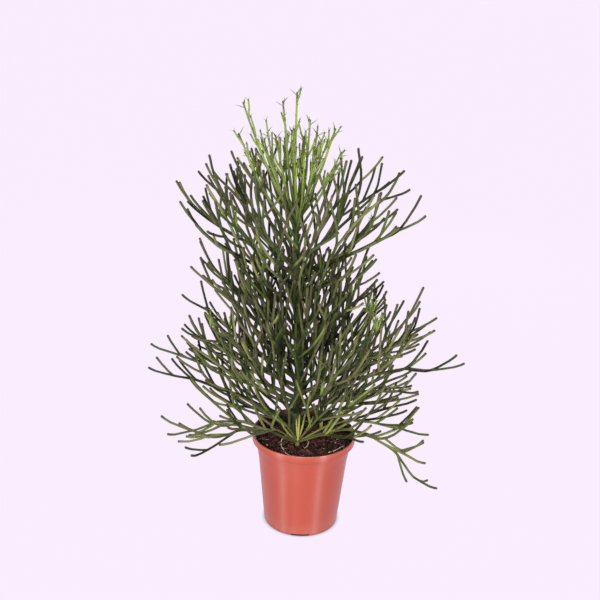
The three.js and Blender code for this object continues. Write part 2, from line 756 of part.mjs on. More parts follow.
/** The young growth as one solid: a stub on the trunk, the shoots and the leaves at their tips. */
function youngShootsSolid(stub, lines) {
  const base = new THREE.Vector3(stub.x, stub.y, TRUNK_TOP.z + SOIL.gap);
  const top = stub.clone().setZ(stub.z + 2);
  const stubRadii = [SHOOT.stubRadius, SHOOT.stubRadius - 1];
  const solids = [solidOf(sweep([base, top], stubRadii, SHOOT.stubSides))];
  const radii = [SHOOT.radius, SHOOT.radius, SHOOT.tipRadius].map((radius) => TWIG.stout * radius);
  lines.forEach((line, i) => {
    const [, middle, tip] = line;
    const along = tip.clone().sub(middle).normalize();
    solids.push(solidOf(sweep(line, radii, TWIG.sides)));
    for (let leaf = 0; leaf < LEAF.count; leaf += 1) {
      const root = tip.clone().addScaledVector(along, -LEAF.spacing * (leaf + 0.5));
      solids.push(leafSolid(root, along, between(0, 90, i, 51) + (360 * leaf) / LEAF.count));
    }
  });
  return join(solids);
}

/** The straight pieces of one line of a stem, as the clearance test sees them. */
function piecesOf(stem, line, radii) {
  return line.slice(1).map((end, i) => ({ stem, start: line[i], end, radius: radii[i] / TWIG.stout }));
}

// ---------------------------------------------------------------- the whole plant in its pot

const stub = TRUNK_TOP.clone().setZ(TRUNK_TOP.z + SOIL.gap + SHOOT.stubHeight);
const shoots = shootLines(stub);
const plant = [
  ...piecesOf(SHOOT, [TRUNK_TOP, stub], [SHOOT.stubRadius]),
  ...shoots.flatMap((line) => piecesOf(SHOOT, line, [SHOOT.radius, SHOOT.radius])),
  ...shoots.map(leafSpace),
  ...piecesOf(MAIN_STEM, TRUNK_POINTS, TRUNK.map(([, , , radius]) => radius)),
];
const frontBoughs = growCutting(plant, FRONT_CUTTING, 201);
const rearBoughs = growCutting(plant, REAR_CUTTING, 301);
const trunkBoughs = growBoughs(plant, MAIN_STEM, BOUGHS, trunkPoint, 1);
[frontBoughs, rearBoughs, trunkBoughs].forEach((boughs) => growSprays(plant, boughs));

const feet = [
  { foot: TRUNK[0], radius: TRUNK[1][3] },
  { foot: FRONT_CUTTING.foot, radius: FRONT_CUTTING.radius },
  { foot: REAR_CUTTING.foot, radius: REAR_CUTTING.radius },
];
const greenery = [
  ['main_stem', mainStemSolid(trunkBoughs), LOOKS.stem],
  ['young_shoots', youngShootsSolid(stub, shoots), LOOKS.shoot],
  ['front_cutting', cuttingSolid(FRONT_CUTTING, frontBoughs), LOOKS.cutting],
  ['rear_cutting', cuttingSolid(REAR_CUTTING, rearBoughs), LOOKS.cutting],
];

const group = new THREE.Group();
group.add(namedMesh('pot', geometryOf(makePot()), LOOKS.pot));
group.add(namedMesh('soil', geometryOf(makeSoil(feet, SURFACE_ROOTS)), LOOKS.soil));
for (const [name, solid, look] of greenery) group.add(namedMesh(name, geometryOf(solid), look));
SURFACE_ROOTS.forEach((route, i) => {
  const root = rootSolid(route, ROOT_RADIUS, 0);
  group.add(namedMesh(`surface_root_${i + 1}`, geometryOf(root), LOOKS.root));
});

export default group;
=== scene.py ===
"""A pencil euphorbia in a plastic nursery pot, in metres with +Z up and -Y to its front.

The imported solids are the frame. The plant grows here again by the seeded rule of its solids,
in millimetres, and every stem is then dressed in round skin with its leaves and scars.
"""
import json
import logging
import math
from collections.abc import Callable, Iterator, Sequence
from dataclasses import dataclass, field
from enum import Enum, IntEnum
from functools import reduce
from typing import Any, ClassVar

import bmesh
import bpy
import numpy as np
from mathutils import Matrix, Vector, noise

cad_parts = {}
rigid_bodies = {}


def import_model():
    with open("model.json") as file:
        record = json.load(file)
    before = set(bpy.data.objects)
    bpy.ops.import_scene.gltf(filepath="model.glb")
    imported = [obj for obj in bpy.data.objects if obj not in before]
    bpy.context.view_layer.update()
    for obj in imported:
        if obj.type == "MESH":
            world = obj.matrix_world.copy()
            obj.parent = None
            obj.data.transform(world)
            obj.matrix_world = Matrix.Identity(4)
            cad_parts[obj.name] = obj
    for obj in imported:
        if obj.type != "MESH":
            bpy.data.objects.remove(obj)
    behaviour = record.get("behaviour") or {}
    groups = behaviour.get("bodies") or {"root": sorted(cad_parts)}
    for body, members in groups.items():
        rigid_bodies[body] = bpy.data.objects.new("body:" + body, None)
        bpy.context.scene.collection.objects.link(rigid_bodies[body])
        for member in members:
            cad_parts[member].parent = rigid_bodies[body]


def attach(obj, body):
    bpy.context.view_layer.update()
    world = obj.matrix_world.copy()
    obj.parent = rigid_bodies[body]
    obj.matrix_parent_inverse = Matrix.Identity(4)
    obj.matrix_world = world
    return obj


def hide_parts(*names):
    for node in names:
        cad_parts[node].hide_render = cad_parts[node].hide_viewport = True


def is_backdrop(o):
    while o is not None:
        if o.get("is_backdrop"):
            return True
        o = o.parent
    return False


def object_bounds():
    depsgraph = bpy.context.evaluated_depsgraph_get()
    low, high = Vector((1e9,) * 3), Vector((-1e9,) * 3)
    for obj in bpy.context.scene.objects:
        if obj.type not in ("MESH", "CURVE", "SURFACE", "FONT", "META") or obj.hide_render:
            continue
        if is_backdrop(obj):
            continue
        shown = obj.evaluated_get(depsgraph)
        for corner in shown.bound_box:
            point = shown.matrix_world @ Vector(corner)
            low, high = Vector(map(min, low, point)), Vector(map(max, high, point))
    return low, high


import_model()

Point = np.ndarray
Mesh = bpy.types.Mesh
Piece = bpy.types.Object
Material = bpy.types.Material
Socket = bpy.types.NodeSocket
Colour = tuple[float, float, float]
Range = tuple[float, float]
Fork = tuple["Node", "Node", Point, int, int]
Line = tuple["Node", list[Fork]]

CAD_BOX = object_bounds()
MM = 0.001
UP: Point = np.array([0.0, 0.0, 1.0])
UPRIGHT = 0.05  # below this lean, a direction counts as straight up
HASH_START = 2166136261
HASH_FACTORS = (16777619, 2246822519)
HASH_MASK = 0xFFFFFFFF
LOG = logging.getLogger("euphorbia")


class Stem(Enum):
    """The stems that grow in the pot, each of which keeps clear of the others."""

    SHOOTS = 0
    MAIN = 1
    FRONT = 2
    REAR = 3


class Trait(IntEnum):
    """What a seeded number settles, as the last part of its seed."""

    SPRAY_TURN = 12
    SPRAY_FORK = 13
    SPRAY_LENGTH = 14
    BOUGH_WAVER = 21
    PAIR_ROLL = 31
    PAIR_ANGLE = 32
    SHOOT_WAVER = 41
    SHOOT_FOOT = 42
    SIDE_PLACE = 43
    SIDE_TURN = 44
    SIDE_LENGTH = 45
    SIDE_LEAN = 46
    LEAF_TURN = 51
    SHOOT_YOUTH = 52
    LOW_LEAF_PLACE = 53
    LOW_LEAF_SCALE = 54
    LOW_LEAF_ANGLE = 55
    SIDE_YOUTH = 56
    SIDE_LEAF_ANGLE = 57
    SIDE_LEAF_SCALE = 58
    TONE = 61
    IS_FRESH = 62
    FRESH_YOUTH = 63
    TIP_LENGTH = 64
    TUFT_TURN = 65
    TUFT_LEAN = 66
    TUFT_LENGTH = 67
    TUFT_YOUTH = 68
    TUFT_LEAF_ANGLE = 69
    TUFT_LEAF_SCALE = 70
    FIBRE_REACH = 71
    FIBRE_BEARING = 72
    FIBRE_TURN = 73
    FIBRE_LENGTH = 74
    FIBRE_LIFT = 75
    FIBRE_BEND = 76
    FIBRE_RADIUS = 77


class Seed(IntEnum):
    """Where the seeds of each kind of strand start."""

    TRUNK = 1
    STUB = 3
    SHOOTS = 40
    ROOTS = 80
    SIDES = 400
    TUFTS = 700
    LOWER_BOUGHS = 1000
    UPPER_BOUGHS = 5000
    CUTTINGS = 9000


# ---------------- seeded numbers and directions


def draw(*keys: int) -> float:
    """A seeded number.

    Args:
        keys: What the number belongs to. The same keys always give the same number.

    Returns:
        A number from 0 to 1.
    """
    value = HASH_START
    for key in keys:
        value = ((value ^ key) * HASH_FACTORS[0]) & HASH_MASK
        value = ((value ^ (value >> 15)) * HASH_FACTORS[1]) & HASH_MASK
        value ^= value >> 13
    return value / (HASH_MASK + 1)


def between(low: float, high: float, *keys: int) -> float:
    """A seeded number from low to high."""
    return low + (high - low) * draw(*keys)


def heading(degrees: float) -> Point:
    """The horizontal unit vector at a bearing, from +X towards +Y."""
    return np.array([math.cos(math.radians(degrees)), math.sin(math.radians(degrees)), 0.0])


def unit(vector: Point) -> Point:
    """The vector at a length of one."""
    return vector / np.linalg.norm(vector)


def fork_direction(along: Point, angle: float, turn: float, lift: float) -> Point:
    """The direction of growth that leaves a stem.

    Args:
        along: The stem's own direction, at unit length.
        angle: How far the growth leans away from it, in degrees.
        turn: How far round the stem it leaves, in degrees.
        lift: How strongly it turns upward.

    Returns:
        The new direction, at unit length.
    """
    side = np.array([-along[1], along[0], 0.0])
    if np.linalg.norm(side) < UPRIGHT:
        side = np.array([1.0, 0.0, 0.0])
    side = unit(side - along * side.dot(along))
    round_it = math.radians(turn)
    side = side * math.cos(round_it) + np.cross(along, side) * math.sin(round_it)
    direction = along * math.cos(math.radians(angle)) + side * math.sin(math.radians(angle))
    direction[2] += lift
    return unit(direction)


def closest_on(starts: Point, ends: Point, points: Point) -> Point:
    """The points of straight pieces that lie nearest to given points."""
    along = ends - starts
    share = np.einsum("ij,ij->i", points - starts, along) / np.einsum("ij,ij->i", along, along)
    return starts + np.clip(share, 0.0, 1.0)[:, None] * along


def arc(start: Point, bend: Point, end: Point, shares: Point) -> Point:
    """Points at shares of the curve from a start to an end that is drawn towards a bend."""
    along, rest = shares[:, None], 1 - shares[:, None]
    return rest * rest * start + 2 * rest * along * bend + along * along * end


# ---------------- growth, in millimetres


@dataclass(frozen=True)
class TwigRule:
    """How a twig is sized and turned, in millimetres, degrees and shares of the usual."""

    tip_radius: float = 1.9
    stout: float = 1.2
    thicker: float = 0.2
    attempts: int = 6
    turn_again: float = 53
    fork_angle: float = 33
    fork_range: Range = (0.75, 1.2)
    pair_range: Range = (0.85, 1.3)
    lift: float = 0.42
    length: float = 50
    length_range: Range = (0.75, 1.25)
    straighter: float = 0.7


@dataclass(frozen=True)
class BoughRule:
    """How a bough runs and where pairs of sprays fork from it."""

    internode: float = 48
    waver: float = 7
    bend_at: float = 0.55
    roll: float = 40
    thick_nodes: int = 4
    pair_gap: float = 7
    tip_fork: float = 36
    long: int = 3
    swings: tuple[float, ...] = (0, 7, -7, 14, -14, 21, -21)
    measures: int = 200


@dataclass(frozen=True)
class Habit:
    """How a stem's boughs thicken at each node towards it, and how often their sprays fork."""

    thicker: float
    spray_order: int


@dataclass(frozen=True)
class Clearance:
    """How far growth keeps from other growth, the pot's rim and the peat."""

    same_stem: float = 0.4
    other_stem: float = 2
    pot: float = 5
    rim_inside: float = 8
    rim_radius: float = 85
    rim_height: float = 160
    peat_level: float = 149
    fork: float = 0.45
    rounds: int = 12


@dataclass
class Node:
    """A place where a stem forks, bends or ends."""

    at: Point
    radius: float
    children: list["Node"] = field(default_factory=list)


@dataclass
class Thicket:
    """Every straight piece that has grown, and the test that new ones keep clear of them."""

    shares: ClassVar[Point] = np.array([0.2, 0.4, 0.6, 0.8, 1.0])
    keep: Clearance = Clearance()
    twig: TwigRule = TwigRule()
    bough: BoughRule = BoughRule()
    rows: Point = field(default_factory=lambda: np.zeros((0, 8)))

    def add(self, stem: Stem, start: Point, end: Point, radius: float) -> None:
        """Adds one straight piece of a stem."""
        row = np.concatenate([start, end, [radius, stem.value]])
        self.rows = np.vstack([self.rows, row])

    @property
    def starts(self) -> Point:
        """Where each piece starts."""
        return self.rows[:, 0:3]

    @property
    def ends(self) -> Point:
        """Where each piece ends."""
        return self.rows[:, 3:6]

    @property
    def radii(self) -> Point:
        """The radius of each piece."""
        return self.rows[:, 6]

    def is_of(self, stem: Stem) -> Point:
        """Whether each piece belongs to a stem."""
        return self.rows[:, 7] == stem.value

    def is_in_pot(self, point: Point) -> bool:
        """Whether a point is too near the pot's rim or the peat."""
        keep = self.keep
        radius = math.hypot(point[0], point[1])
        near_rim = keep.rim_radius - keep.rim_inside < radius < keep.rim_radius + keep.pot
        if near_rim and point[2] < keep.rim_height + keep.pot:
            return True
        return radius < keep.rim_radius and point[2] < keep.peat_level + keep.pot

    def is_clear(self, stem: Stem, start: Point, end: Point, radius: float) -> bool:
        """Whether a new internode keeps its clearance from all that is there.

        Args:
            stem: The stem that it belongs to.
            start: Where it starts.
            end: Where it ends.
            radius: Its radius.

        Returns:
            True where it may grow.
        """
        samples = start + self.shares[:, None] * (end - start)
        if any(self.is_in_pot(point) for point in samples):
            return False
        starts, ends = self.starts, self.ends
        same = self.is_of(stem)
        gap = np.where(same, self.keep.same_stem, self.keep.other_stem)
        least = self.twig.stout * (radius + self.radii) + gap
        middles = np.linalg.norm((starts + ends) / 2 - (start + end) / 2, axis=1)
        halves = (np.linalg.norm(ends - starts, axis=1) + np.linalg.norm(end - start)) / 2
        near = middles - halves < least
        starts, ends, same, least = starts[near], ends[near], same[near], least[near]
        if len(least) == 0:
            return True
        own = np.broadcast_to(start, starts.shape)
        root_gap = np.linalg.norm(closest_on(starts, ends, own) - own, axis=1)
        joined = same & (root_gap < 2 * self.bough.pair_gap)
        outer = start + self.keep.fork * (end - start)
        on_other = np.where(joined[:, None], outer, own)
        own_starts, own_ends = on_other, np.broadcast_to(end, starts.shape)
        for _ in range(self.keep.rounds):
            on_own = closest_on(own_starts, own_ends, on_other)
            on_other = closest_on(starts, ends, on_own)
        return bool(np.all(np.linalg.norm(on_own - on_other, axis=1) > least))


class Grower:
    """Grows a stem's boughs and their sprays into a thicket."""

    def __init__(self, thicket: Thicket, stem: Stem, habit: Habit) -> None:
        """Takes its rules from the thicket that it grows into."""
        self.thicket, self.twig, self.bough = thicket, thicket.twig, thicket.bough
        self.stem, self.habit = stem, habit

    def add_internode(self, node: Node, end: Point, radius: float) -> Node | None:
        """Adds an internode to a node where it keeps clear.

        Args:
            node: The node that it grows from.
            end: Where it ends.
            radius: Its radius at the end.

        Returns:
            The node at its end, or None where there is no room.
        """
        widest = max(radius, node.radius)
        if not self.thicket.is_clear(self.stem, node.at, end, widest):
            return None
        self.thicket.add(self.stem, node.at, end, widest)
        node.children.append(Node(end, radius))
        return node.children[-1]

    def grow_spray(
        self, node: Node, along: Point, angle: float, turn: float, order: int, key: int
    ) -> None:
        """Grows an internode that forks in two, as many times as its order.

        Args:
            node: The node that it grows from.
            along: The direction of what carries it.
            angle: How far it leans away, in degrees.
            turn: How far round it leaves, in degrees.
            order: How often it forks again.
            key: The seed of its random numbers.
        """
        twig = self.twig
        length = twig.length * between(*twig.length_range, key, Trait.SPRAY_LENGTH)
        radius = twig.tip_radius + twig.thicker * order
        child = None
        for attempt in range(twig.attempts):
            direction = fork_direction(along, angle, turn + twig.turn_again * attempt, twig.lift)
            child = self.add_internode(node, node.at + length * direction, radius)
            if child:
                break
        if not child or order == 0:
            return
        fork = twig.fork_angle * between(*twig.fork_range, key, Trait.SPRAY_FORK)
        turned = between(0, 360, key, Trait.SPRAY_TURN)
        for i, lean in enumerate((twig.straighter * fork, fork)):
            seed = 3 * key + 1 + i
            self.grow_spray(child, direction, lean, turned + 180 * i, order - 1, seed)

    def bough_route(self, root: Point, bough: Sequence[float], key: int) -> list[Point]:
        """The points of a bough, from the stem out to the node that its last twigs fork from.

        Args:
            root: Where it leaves the stem.
            bough: Its bearing, reach, height of the tip and arch.
            key: The seed of its waver.

        Returns:
            Its nodes in order.
        """
        bearing, reach, tip_height, arch = bough
        out = heading(bearing)
        tip = root + reach * out
        tip[2] = tip_height
        end = tip - self.bough.tip_fork * unit(tip - root)
        bend = root + self.bough.bend_at * (end - root)
        bend[2] += 2 * arch
        fine = arc(root, bend, end, np.linspace(0, 1, self.bough.measures + 1))
        length = float(np.linalg.norm(np.diff(fine, axis=0), axis=1).sum())
        count = max(2, math.floor(length / self.bough.internode + 0.5))
        points = arc(root, bend, end, np.arange(count + 1) / count)
        aside = np.array([-out[1], out[0], 0.0])
        for i in range(1, count):
            points[i] += self.bough.waver * between(-1, 1, key, i, Trait.BOUGH_WAVER) * aside
        return list(points)

    def open_route(
        self, root: Point, bough: Sequence[float], key: int
    ) -> tuple[list[Point], list[float]]:
        """The route of a bough, swung to one side where its own bearing is blocked.

        Args:
            root: Where it leaves the stem.
            bough: Its bearing, reach, height of the tip and arch.
            key: The seed of its waver.

        Returns:
            Its nodes and the radius at each.
        """
        first = None
        for swing in self.bough.swings:
            route = self.bough_route(root, (bough[0] + swing, *bough[1:]), key)
            last = len(route) - 1
            radii = [
                self.twig.tip_radius + self.habit.thicker * min(last - i, self.bough.thick_nodes)
                for i in range(last + 1)
            ]
            pieces = zip(route, route[1:], radii)
            if all(self.thicket.is_clear(self.stem, *piece) for piece in pieces):
                return route, radii
            first = first or (route, radii)
        return first

    def grow_line(self, root: Point, bough: Sequence[float], key: int) -> Line:
        """Grows a bough's main line, with two nodes close together wherever sprays fork.

        Args:
            root: Where it leaves the stem.
            bough: Its bearing, reach, height of the tip and arch.
            key: The seed of its random numbers.

        Returns:
            The node at its base, and its forks.
        """
        route, radii = self.open_route(root, bough, key)
        last = len(route) - 1
        base = node = Node(root, radii[0])
        plain_end = 1 if last > self.bough.long else 0
        forks = []
        for i in range(1, last + 1):
            node = self.add_internode(node, route[i], radii[i])
            if node is None:
                break
            near, along = node, unit(route[i] - route[i - 1])
            if i < last:
                along = unit(route[i + 1] - route[i])
                node = Node(route[i] + self.bough.pair_gap * along, radii[i])
                near.children.append(node)
            order = min(max(last - i - plain_end, 0), self.habit.spray_order)
            forks.append((near, node, along, order, 31 * key + i))
        return base, forks

    def grow_boughs(
        self, boughs: Sequence[Sequence[float]], root_of: Callable[[float], Point], key: int
    ) -> list[Line]:
        """Grows the main lines of a stem's boughs, the longest first."""
        seeded = sorted(enumerate(boughs), key=lambda pair: -pair[1][2])
        lines = [self.grow_line(root_of(bough[0]), bough[1:], key + i) for i, bough in seeded]
        return [line for line in lines if line[0].children]

    def grow_sprays(self, boughs: Sequence[Line]) -> None:
        """Grows the sprays at the forks of a stem's boughs."""
        twig, roll = self.twig, self.bough.roll
        for _, forks in boughs:
            for near, far, along, order, key in forks:
                turn = between(-roll, roll, key, Trait.PAIR_ROLL)
                for i, node in enumerate((near, far)):
                    angle = twig.fork_angle * between(*twig.pair_range, key, i, Trait.PAIR_ANGLE)
                    self.grow_spray(node, along, angle, turn + 180 * i, order, 7 * key + i)


# ---------------- strands


@dataclass
class Strand:
    """A smooth run of points with what its skin needs at each, in metres."""

    points: Point
    girth: Point
    tip: Point
    run: Point
    tone: float
    youth: float | Point = 0.0
    ripening: float = 0.002


@dataclass(frozen=True)
class StrandRule:
    """How the skeleton's runs of nodes are rounded into strands, in millimetres."""

    stations: tuple[float, ...] = (0.0, 0.1, 0.3, 0.7, 0.9)
    swelling: tuple[float, ...] = (1.1, 1.0, 0.965, 0.965, 1.0)
    short: float = 12
    short_step: int = 3
    sag: float = 0.16
    rise: float = 0.30
    flare: float = 1.0
    flare_length: float = 6.0
    scar: float = 0.3
    scar_reach: float = 0.1
    tip_length: float = 3.4
    tip_range: Range = (0.5, 2.4)
    tip_swelling: float = 1.05
    dome: tuple[Range, ...] = ((0.45, 0.88), (0.78, 0.6), (0.92, 0.18))

    @classmethod
    def even(cls, stations: Sequence[float], rise: float = 0.0) -> "StrandRule":
        """The rule of a strand that neither sags nor swells at its nodes."""
        return cls(stations=tuple(stations), swelling=(1.0,) * len(stations), sag=0.0, rise=rise)

    def strand(self, nodes: Point, radii: Point, key: int, youth: float = 0.0) -> Strand:
        """Rounds a run of nodes into a strand.

        Args:
            nodes: The nodes in order, in millimetres.
            radii: The radius at each.
            key: The seed of its tone.
            youth: How bright its green is, from 0 to 1.

        Returns:
            The strand, with a rounded tip.
        """
        legs = np.diff(nodes, axis=0)
        lengths = np.linalg.norm(legs, axis=1)
        ways = legs / lengths[:, None]
        tangents = np.vstack([ways[:1], ways[:-1] + ways[1:], ways[-1:]])
        tangents[0, 2] -= self.sag
        tangents[-1, 2] += self.rise
        tangents /= np.linalg.norm(tangents, axis=1)[:, None]
        points, girth = [], []
        for i, length in enumerate(lengths):
            ends = (nodes[i], nodes[i + 1], tangents[i] * length, tangents[i + 1] * length)
            step = self.short_step if length < self.short else 1
            for station, swelling in zip(self.stations[::step], self.swelling[::step]):
                points.append(hermite(*ends, station))
                plain = radii[i] + (radii[i + 1] - radii[i]) * station
                girth.append(plain * (swelling if i or station else 1.0))
        points, girth = np.array([*points, nodes[-1]]), np.array([*girth, radii[-1] * self.tip_swelling])
        run = np.concatenate([[0], np.linalg.norm(np.diff(points, axis=0), axis=1).cumsum()])
        girth *= 1 + (self.flare - 1) * np.exp(-run / self.flare_length)
        tip_length = self.tip_length * between(*self.tip_range, key, Trait.TIP_LENGTH)
        tip = np.clip(1 - (run[-1] - run) / tip_length, 0, 1)
        gaps = np.linalg.norm(points[:, None] - nodes[None, 1:-1], axis=2)
        scars = gaps.min(axis=1, initial=np.inf) < self.scar_reach
        rows = np.column_stack([points, girth, run, np.maximum(tip, self.scar * scars)])
        rows = np.vstack([rows, self.dome_rows(rows)])
        points, girth, run = rows[:, :3] * MM, rows[:, 3] * MM, rows[:, 4] * MM
        return Strand(points, girth, rows[:, 5], run, draw(key, Trait.TONE), youth)

    def dome_rows(self, rows: Point) -> Point:
        """The rows of x, y, z, girth, run and tip that close a strand in a small dome."""
        end, girth, run = rows[-1, :3], rows[-1, 3], rows[-1, 4]
        way = unit(end - rows[-2, :3])
        return np.array([
            [*(end + girth * ahead * way), girth * share, run + girth * ahead, 1.0]
            for ahead, share in self.dome
        ])


def hermite(start: Point, end: Point, leave: Point, arrive: Point, share: float) -> Point:
    """A point on the smooth curve between two nodes with a tangent at each."""
    square, cube = share**2, share**3
    return (
        (2 * cube - 3 * square + 1) * start
        + (cube - 2 * square + share) * leave
        + (3 * square - 2 * cube) * end
        + (cube - square) * arrive
    )


def runs_of(base: Node) -> Iterator[tuple[Point, Point, bool]]:
    """Splits a bough into runs that each grow on in one line.

    Args:
        base: The node at the bough's base.

    Yields:
        The nodes of a run, the radius at each, and whether it is the bough's own line.
    """
    waiting = [(base, 0)]
    while waiting:
        node, first = waiting.pop()
        if first >= len(node.children):
            continue
        waiting.append((node, first + 1))
        start = node
        nodes, radii = [node.at], [node.children[first].radius if first else node.radius]
        node = node.children[first]
        nodes.append(node.at)
        radii.append(node.radius)
        while node.children:
            waiting.append((node, 1))
            node = node.children[0]
            nodes.append(node.at)
            radii.append(node.radius)
        yield np.array(nodes), np.array(radii), start is base


def guide_mesh(name: str, strands: Sequence[Strand]) -> Mesh:
    """The mesh of edges that strands follow, with their attributes.

    Args:
        name: The mesh's name.
        strands: The strands.

    Returns:
        A mesh with one chain of edges for each.
    """
    points = np.vstack([strand.points for strand in strands])
    edges, first = [], 0
    for strand in strands:
        count = len(strand.points)
        edges += [(first + i, first + i + 1) for i in range(count - 1)]
        first += count
    mesh = bpy.data.meshes.new(name)
    mesh.from_pydata(points.tolist(), edges, [])
    columns = {key: [getattr(strand, key) for strand in strands] for key in ("girth", "tip", "run")}
    columns["tone"] = [np.full(len(strand.points), strand.tone) for strand in strands]
    columns["youth"] = [s.youth * np.clip(s.run / s.ripening, 0.0, 1.0) for s in strands]
    for key, values in columns.items():
        attribute = mesh.attributes.new(key, "FLOAT", "POINT")
        attribute.data.foreach_set("value", np.concatenate(values))
    return mesh


# ---------------- node trees


class Graph:
    """A node tree that is being wired up."""

    def __init__(self, tree: bpy.types.NodeTree) -> None:
        """Wires up the given tree."""
        self.tree = tree

    def add(self, kind: str, feeds: dict[str | int, Any] | None = None, **settings: Any) -> Any:
        """Adds a node.

        Args:
            kind: The node's type.
            feeds: What goes into its sockets, by name or place: a socket or a plain value.
            settings: Its own settings.

        Returns:
            The node.
        """
        node = self.tree.nodes.new(kind)
        for name, value in settings.items():
            setattr(node, name, value)
        for key, value in (feeds or {}).items():
            self.feed(self.socket(node.inputs, key), value)
        return node

    @staticmethod
    def socket(sockets: Any, key: str | int) -> Socket:
        """The socket of that name which the node uses at its settings, or the one at a place."""
        if isinstance(key, int):
            return sockets[key]
        return next(one for one in sockets if one.name == key and one.enabled)

    def feed(self, socket: Socket, value: Any) -> None:
        """Links a socket to another, or sets its value."""
        if isinstance(value, Socket):
            self.tree.links.new(value, socket)
        else:
            socket.default_value = value

    def out(self, node: Any, key: str | int = 0) -> Socket:
        """One of a node's outputs."""
        return self.socket(node.outputs, key)

    def made(self, kind: str, feeds: dict, key: str | int = 0, **settings: Any) -> Socket:
        """One of the outputs of a node that is added."""
        return self.out(self.add(kind, feeds, **settings), key)

    def math(self, operation: str, *values: Any) -> Socket:
        """The result of a sum on numbers or sockets."""
        return self.made("ShaderNodeMath", dict(enumerate(values)), operation=operation)

    def plus(self, *values: Any) -> Socket:
        """Numbers or sockets added up from the first to the last."""
        return reduce(lambda first, second: self.math("ADD", first, second), values)

    def times(self, *values: Any) -> Socket:
        """Numbers or sockets multiplied from the first to the last."""
        return reduce(lambda first, second: self.math("MULTIPLY", first, second), values)

    def vector(self, operation: str, *values: Any) -> Socket:
        """The result of a sum on vectors."""
        return self.made("ShaderNodeVectorMath", dict(enumerate(values)), operation=operation)

    def scaled(self, vector: Any, amount: Any) -> Socket:
        """A vector made longer or shorter."""
        return self.made("ShaderNodeVectorMath", {0: vector, "Scale": amount}, operation="SCALE")

    def joined(self, *values: Any) -> Socket:
        """The vector of three numbers or sockets."""
        return self.made("ShaderNodeCombineXYZ", dict(enumerate(values)))


class GeometryTool:
    """A Geometry Nodes tree with named inputs that makes a piece from a guide."""

    def __init__(self, name: str) -> None:
        """Starts a tree that takes and gives geometry."""
        self.tree = bpy.data.node_groups.new(name, "GeometryNodeTree")
        self.graph = Graph(self.tree)
        for side in ("INPUT", "OUTPUT"):
            self.tree.interface.new_socket("Geometry", in_out=side, socket_type="NodeSocketGeometry")
        self.dials: dict[str, str] = {}
        self.entry = self.graph.add("NodeGroupInput")
        self.place = self.graph.made("GeometryNodeInputPosition", {})

    @property
    def geometry(self) -> Socket:
        """What goes into the tree."""
        return self.graph.out(self.entry, "Geometry")

    def dial(self, name: str, kind: str = "Float") -> Socket:
        """Adds a named input.

        Args:
            name: The input's name.
            kind: What it holds: Float, Int or Material.

        Returns:
            The socket that gives its value inside the tree.
        """
        interface = self.tree.interface
        socket = interface.new_socket(name, in_out="INPUT", socket_type=f"NodeSocket{kind}")
        self.dials[name] = socket.identifier
        return self.graph.out(self.entry, name)

    def read(self, name: str, kind: str = "FLOAT") -> Socket:
        """An attribute that the guide carries."""
        feeds = {"Name": name}
        return self.graph.made("GeometryNodeInputNamedAttribute", feeds, "Attribute", data_type=kind)

    def mark(self, geometry: Any, name: str, value: Any, kind: str, domain: str) -> Socket:
        """Writes a named attribute of some kind on a geometry's points or instances."""
        feeds = {"Geometry": geometry, "Name": name, "Value": value}
        return self.graph.made("GeometryNodeStoreNamedAttribute", feeds, data_type=kind, domain=domain)

    def chance(self, seed: Any, kind: str = "FLOAT", **limits: Any) -> Socket:
        """A random value for each point or instance, of the given kind and within limits."""
        feeds = {**limits, "Seed": seed}
        return self.graph.made("FunctionNodeRandomValue", feeds, "Value", data_type=kind)

    def shake(self, geometry: Any, scale: Any, detail: float, amount: Any) -> Socket:
        """Shifts a geometry's points by a cloudy pattern.

        Args:
            geometry: The geometry.
            scale: How many clouds there are to a metre.
            detail: How many finer layers they have.
            amount: How far the points go, in metres.

        Returns:
            The shifted geometry.
        """
        graph = self.graph
        clouds = graph.made("ShaderNodeTexNoise", {"Scale": scale, "Detail": detail}, "Color")
        centred = graph.vector("SUBTRACT", clouds, (0.5, 0.5, 0.5))
        feeds = {"Geometry": geometry, "Offset": graph.scaled(centred, amount)}
        return graph.made("GeometryNodeSetPosition", feeds)

    def shape(self, geometry: Any, place: Any) -> Socket:
        """Puts a geometry's points in given places."""
        return self.graph.made("GeometryNodeSetPosition", {"Geometry": geometry, "Position": place})

    def stand(self, points: Any, instance: Any, rotation: Any, scale: Any) -> Socket:
        """Stands a turned and scaled copy of a geometry at each point."""
        feeds = {"Points": points, "Instance": instance, "Rotation": rotation, "Scale": scale}
        return self.graph.made("GeometryNodeInstanceOnPoints", feeds)

    def smooth(self, geometry: Any) -> Socket:
        """Shades a geometry smoothly."""
        return self.graph.made("GeometryNodeSetShadeSmooth", {"Geometry": geometry})

    def close(self, geometry: Socket) -> None:
        """Ends the tree: what was instanced is made real and takes the material."""
        graph = self.graph
        real = graph.made("GeometryNodeRealizeInstances", {"Geometry": geometry})
        feeds = {"Geometry": real, "Material": self.dial("Material", "Material")}
        graph.add("NodeGroupOutput", {0: graph.made("GeometryNodeSetMaterial", feeds)})

    def make(self, name: str, mesh: Mesh, **dials: Any) -> Piece:
        """Runs the tree on a mesh.

        Args:
            name: The piece's name.
            mesh: The guide that it starts from.
            dials: The value of each named input.

        Returns:
            A plain mesh object.
        """
        piece = new_object(name, mesh)
        modifier = piece.modifiers.new("Growth", "NODES")
        modifier.node_group = self.tree
        for key, value in dials.items():
            modifier[self.dials[key.replace("_", " ").capitalize()]] = value
        return settle(piece)


def new_object(name: str, mesh: Mesh) -> Piece:
    """Puts a mesh into the scene as an object of its own."""
    piece = bpy.data.objects.new(name, mesh)
    bpy.context.scene.collection.objects.link(piece)
    return piece


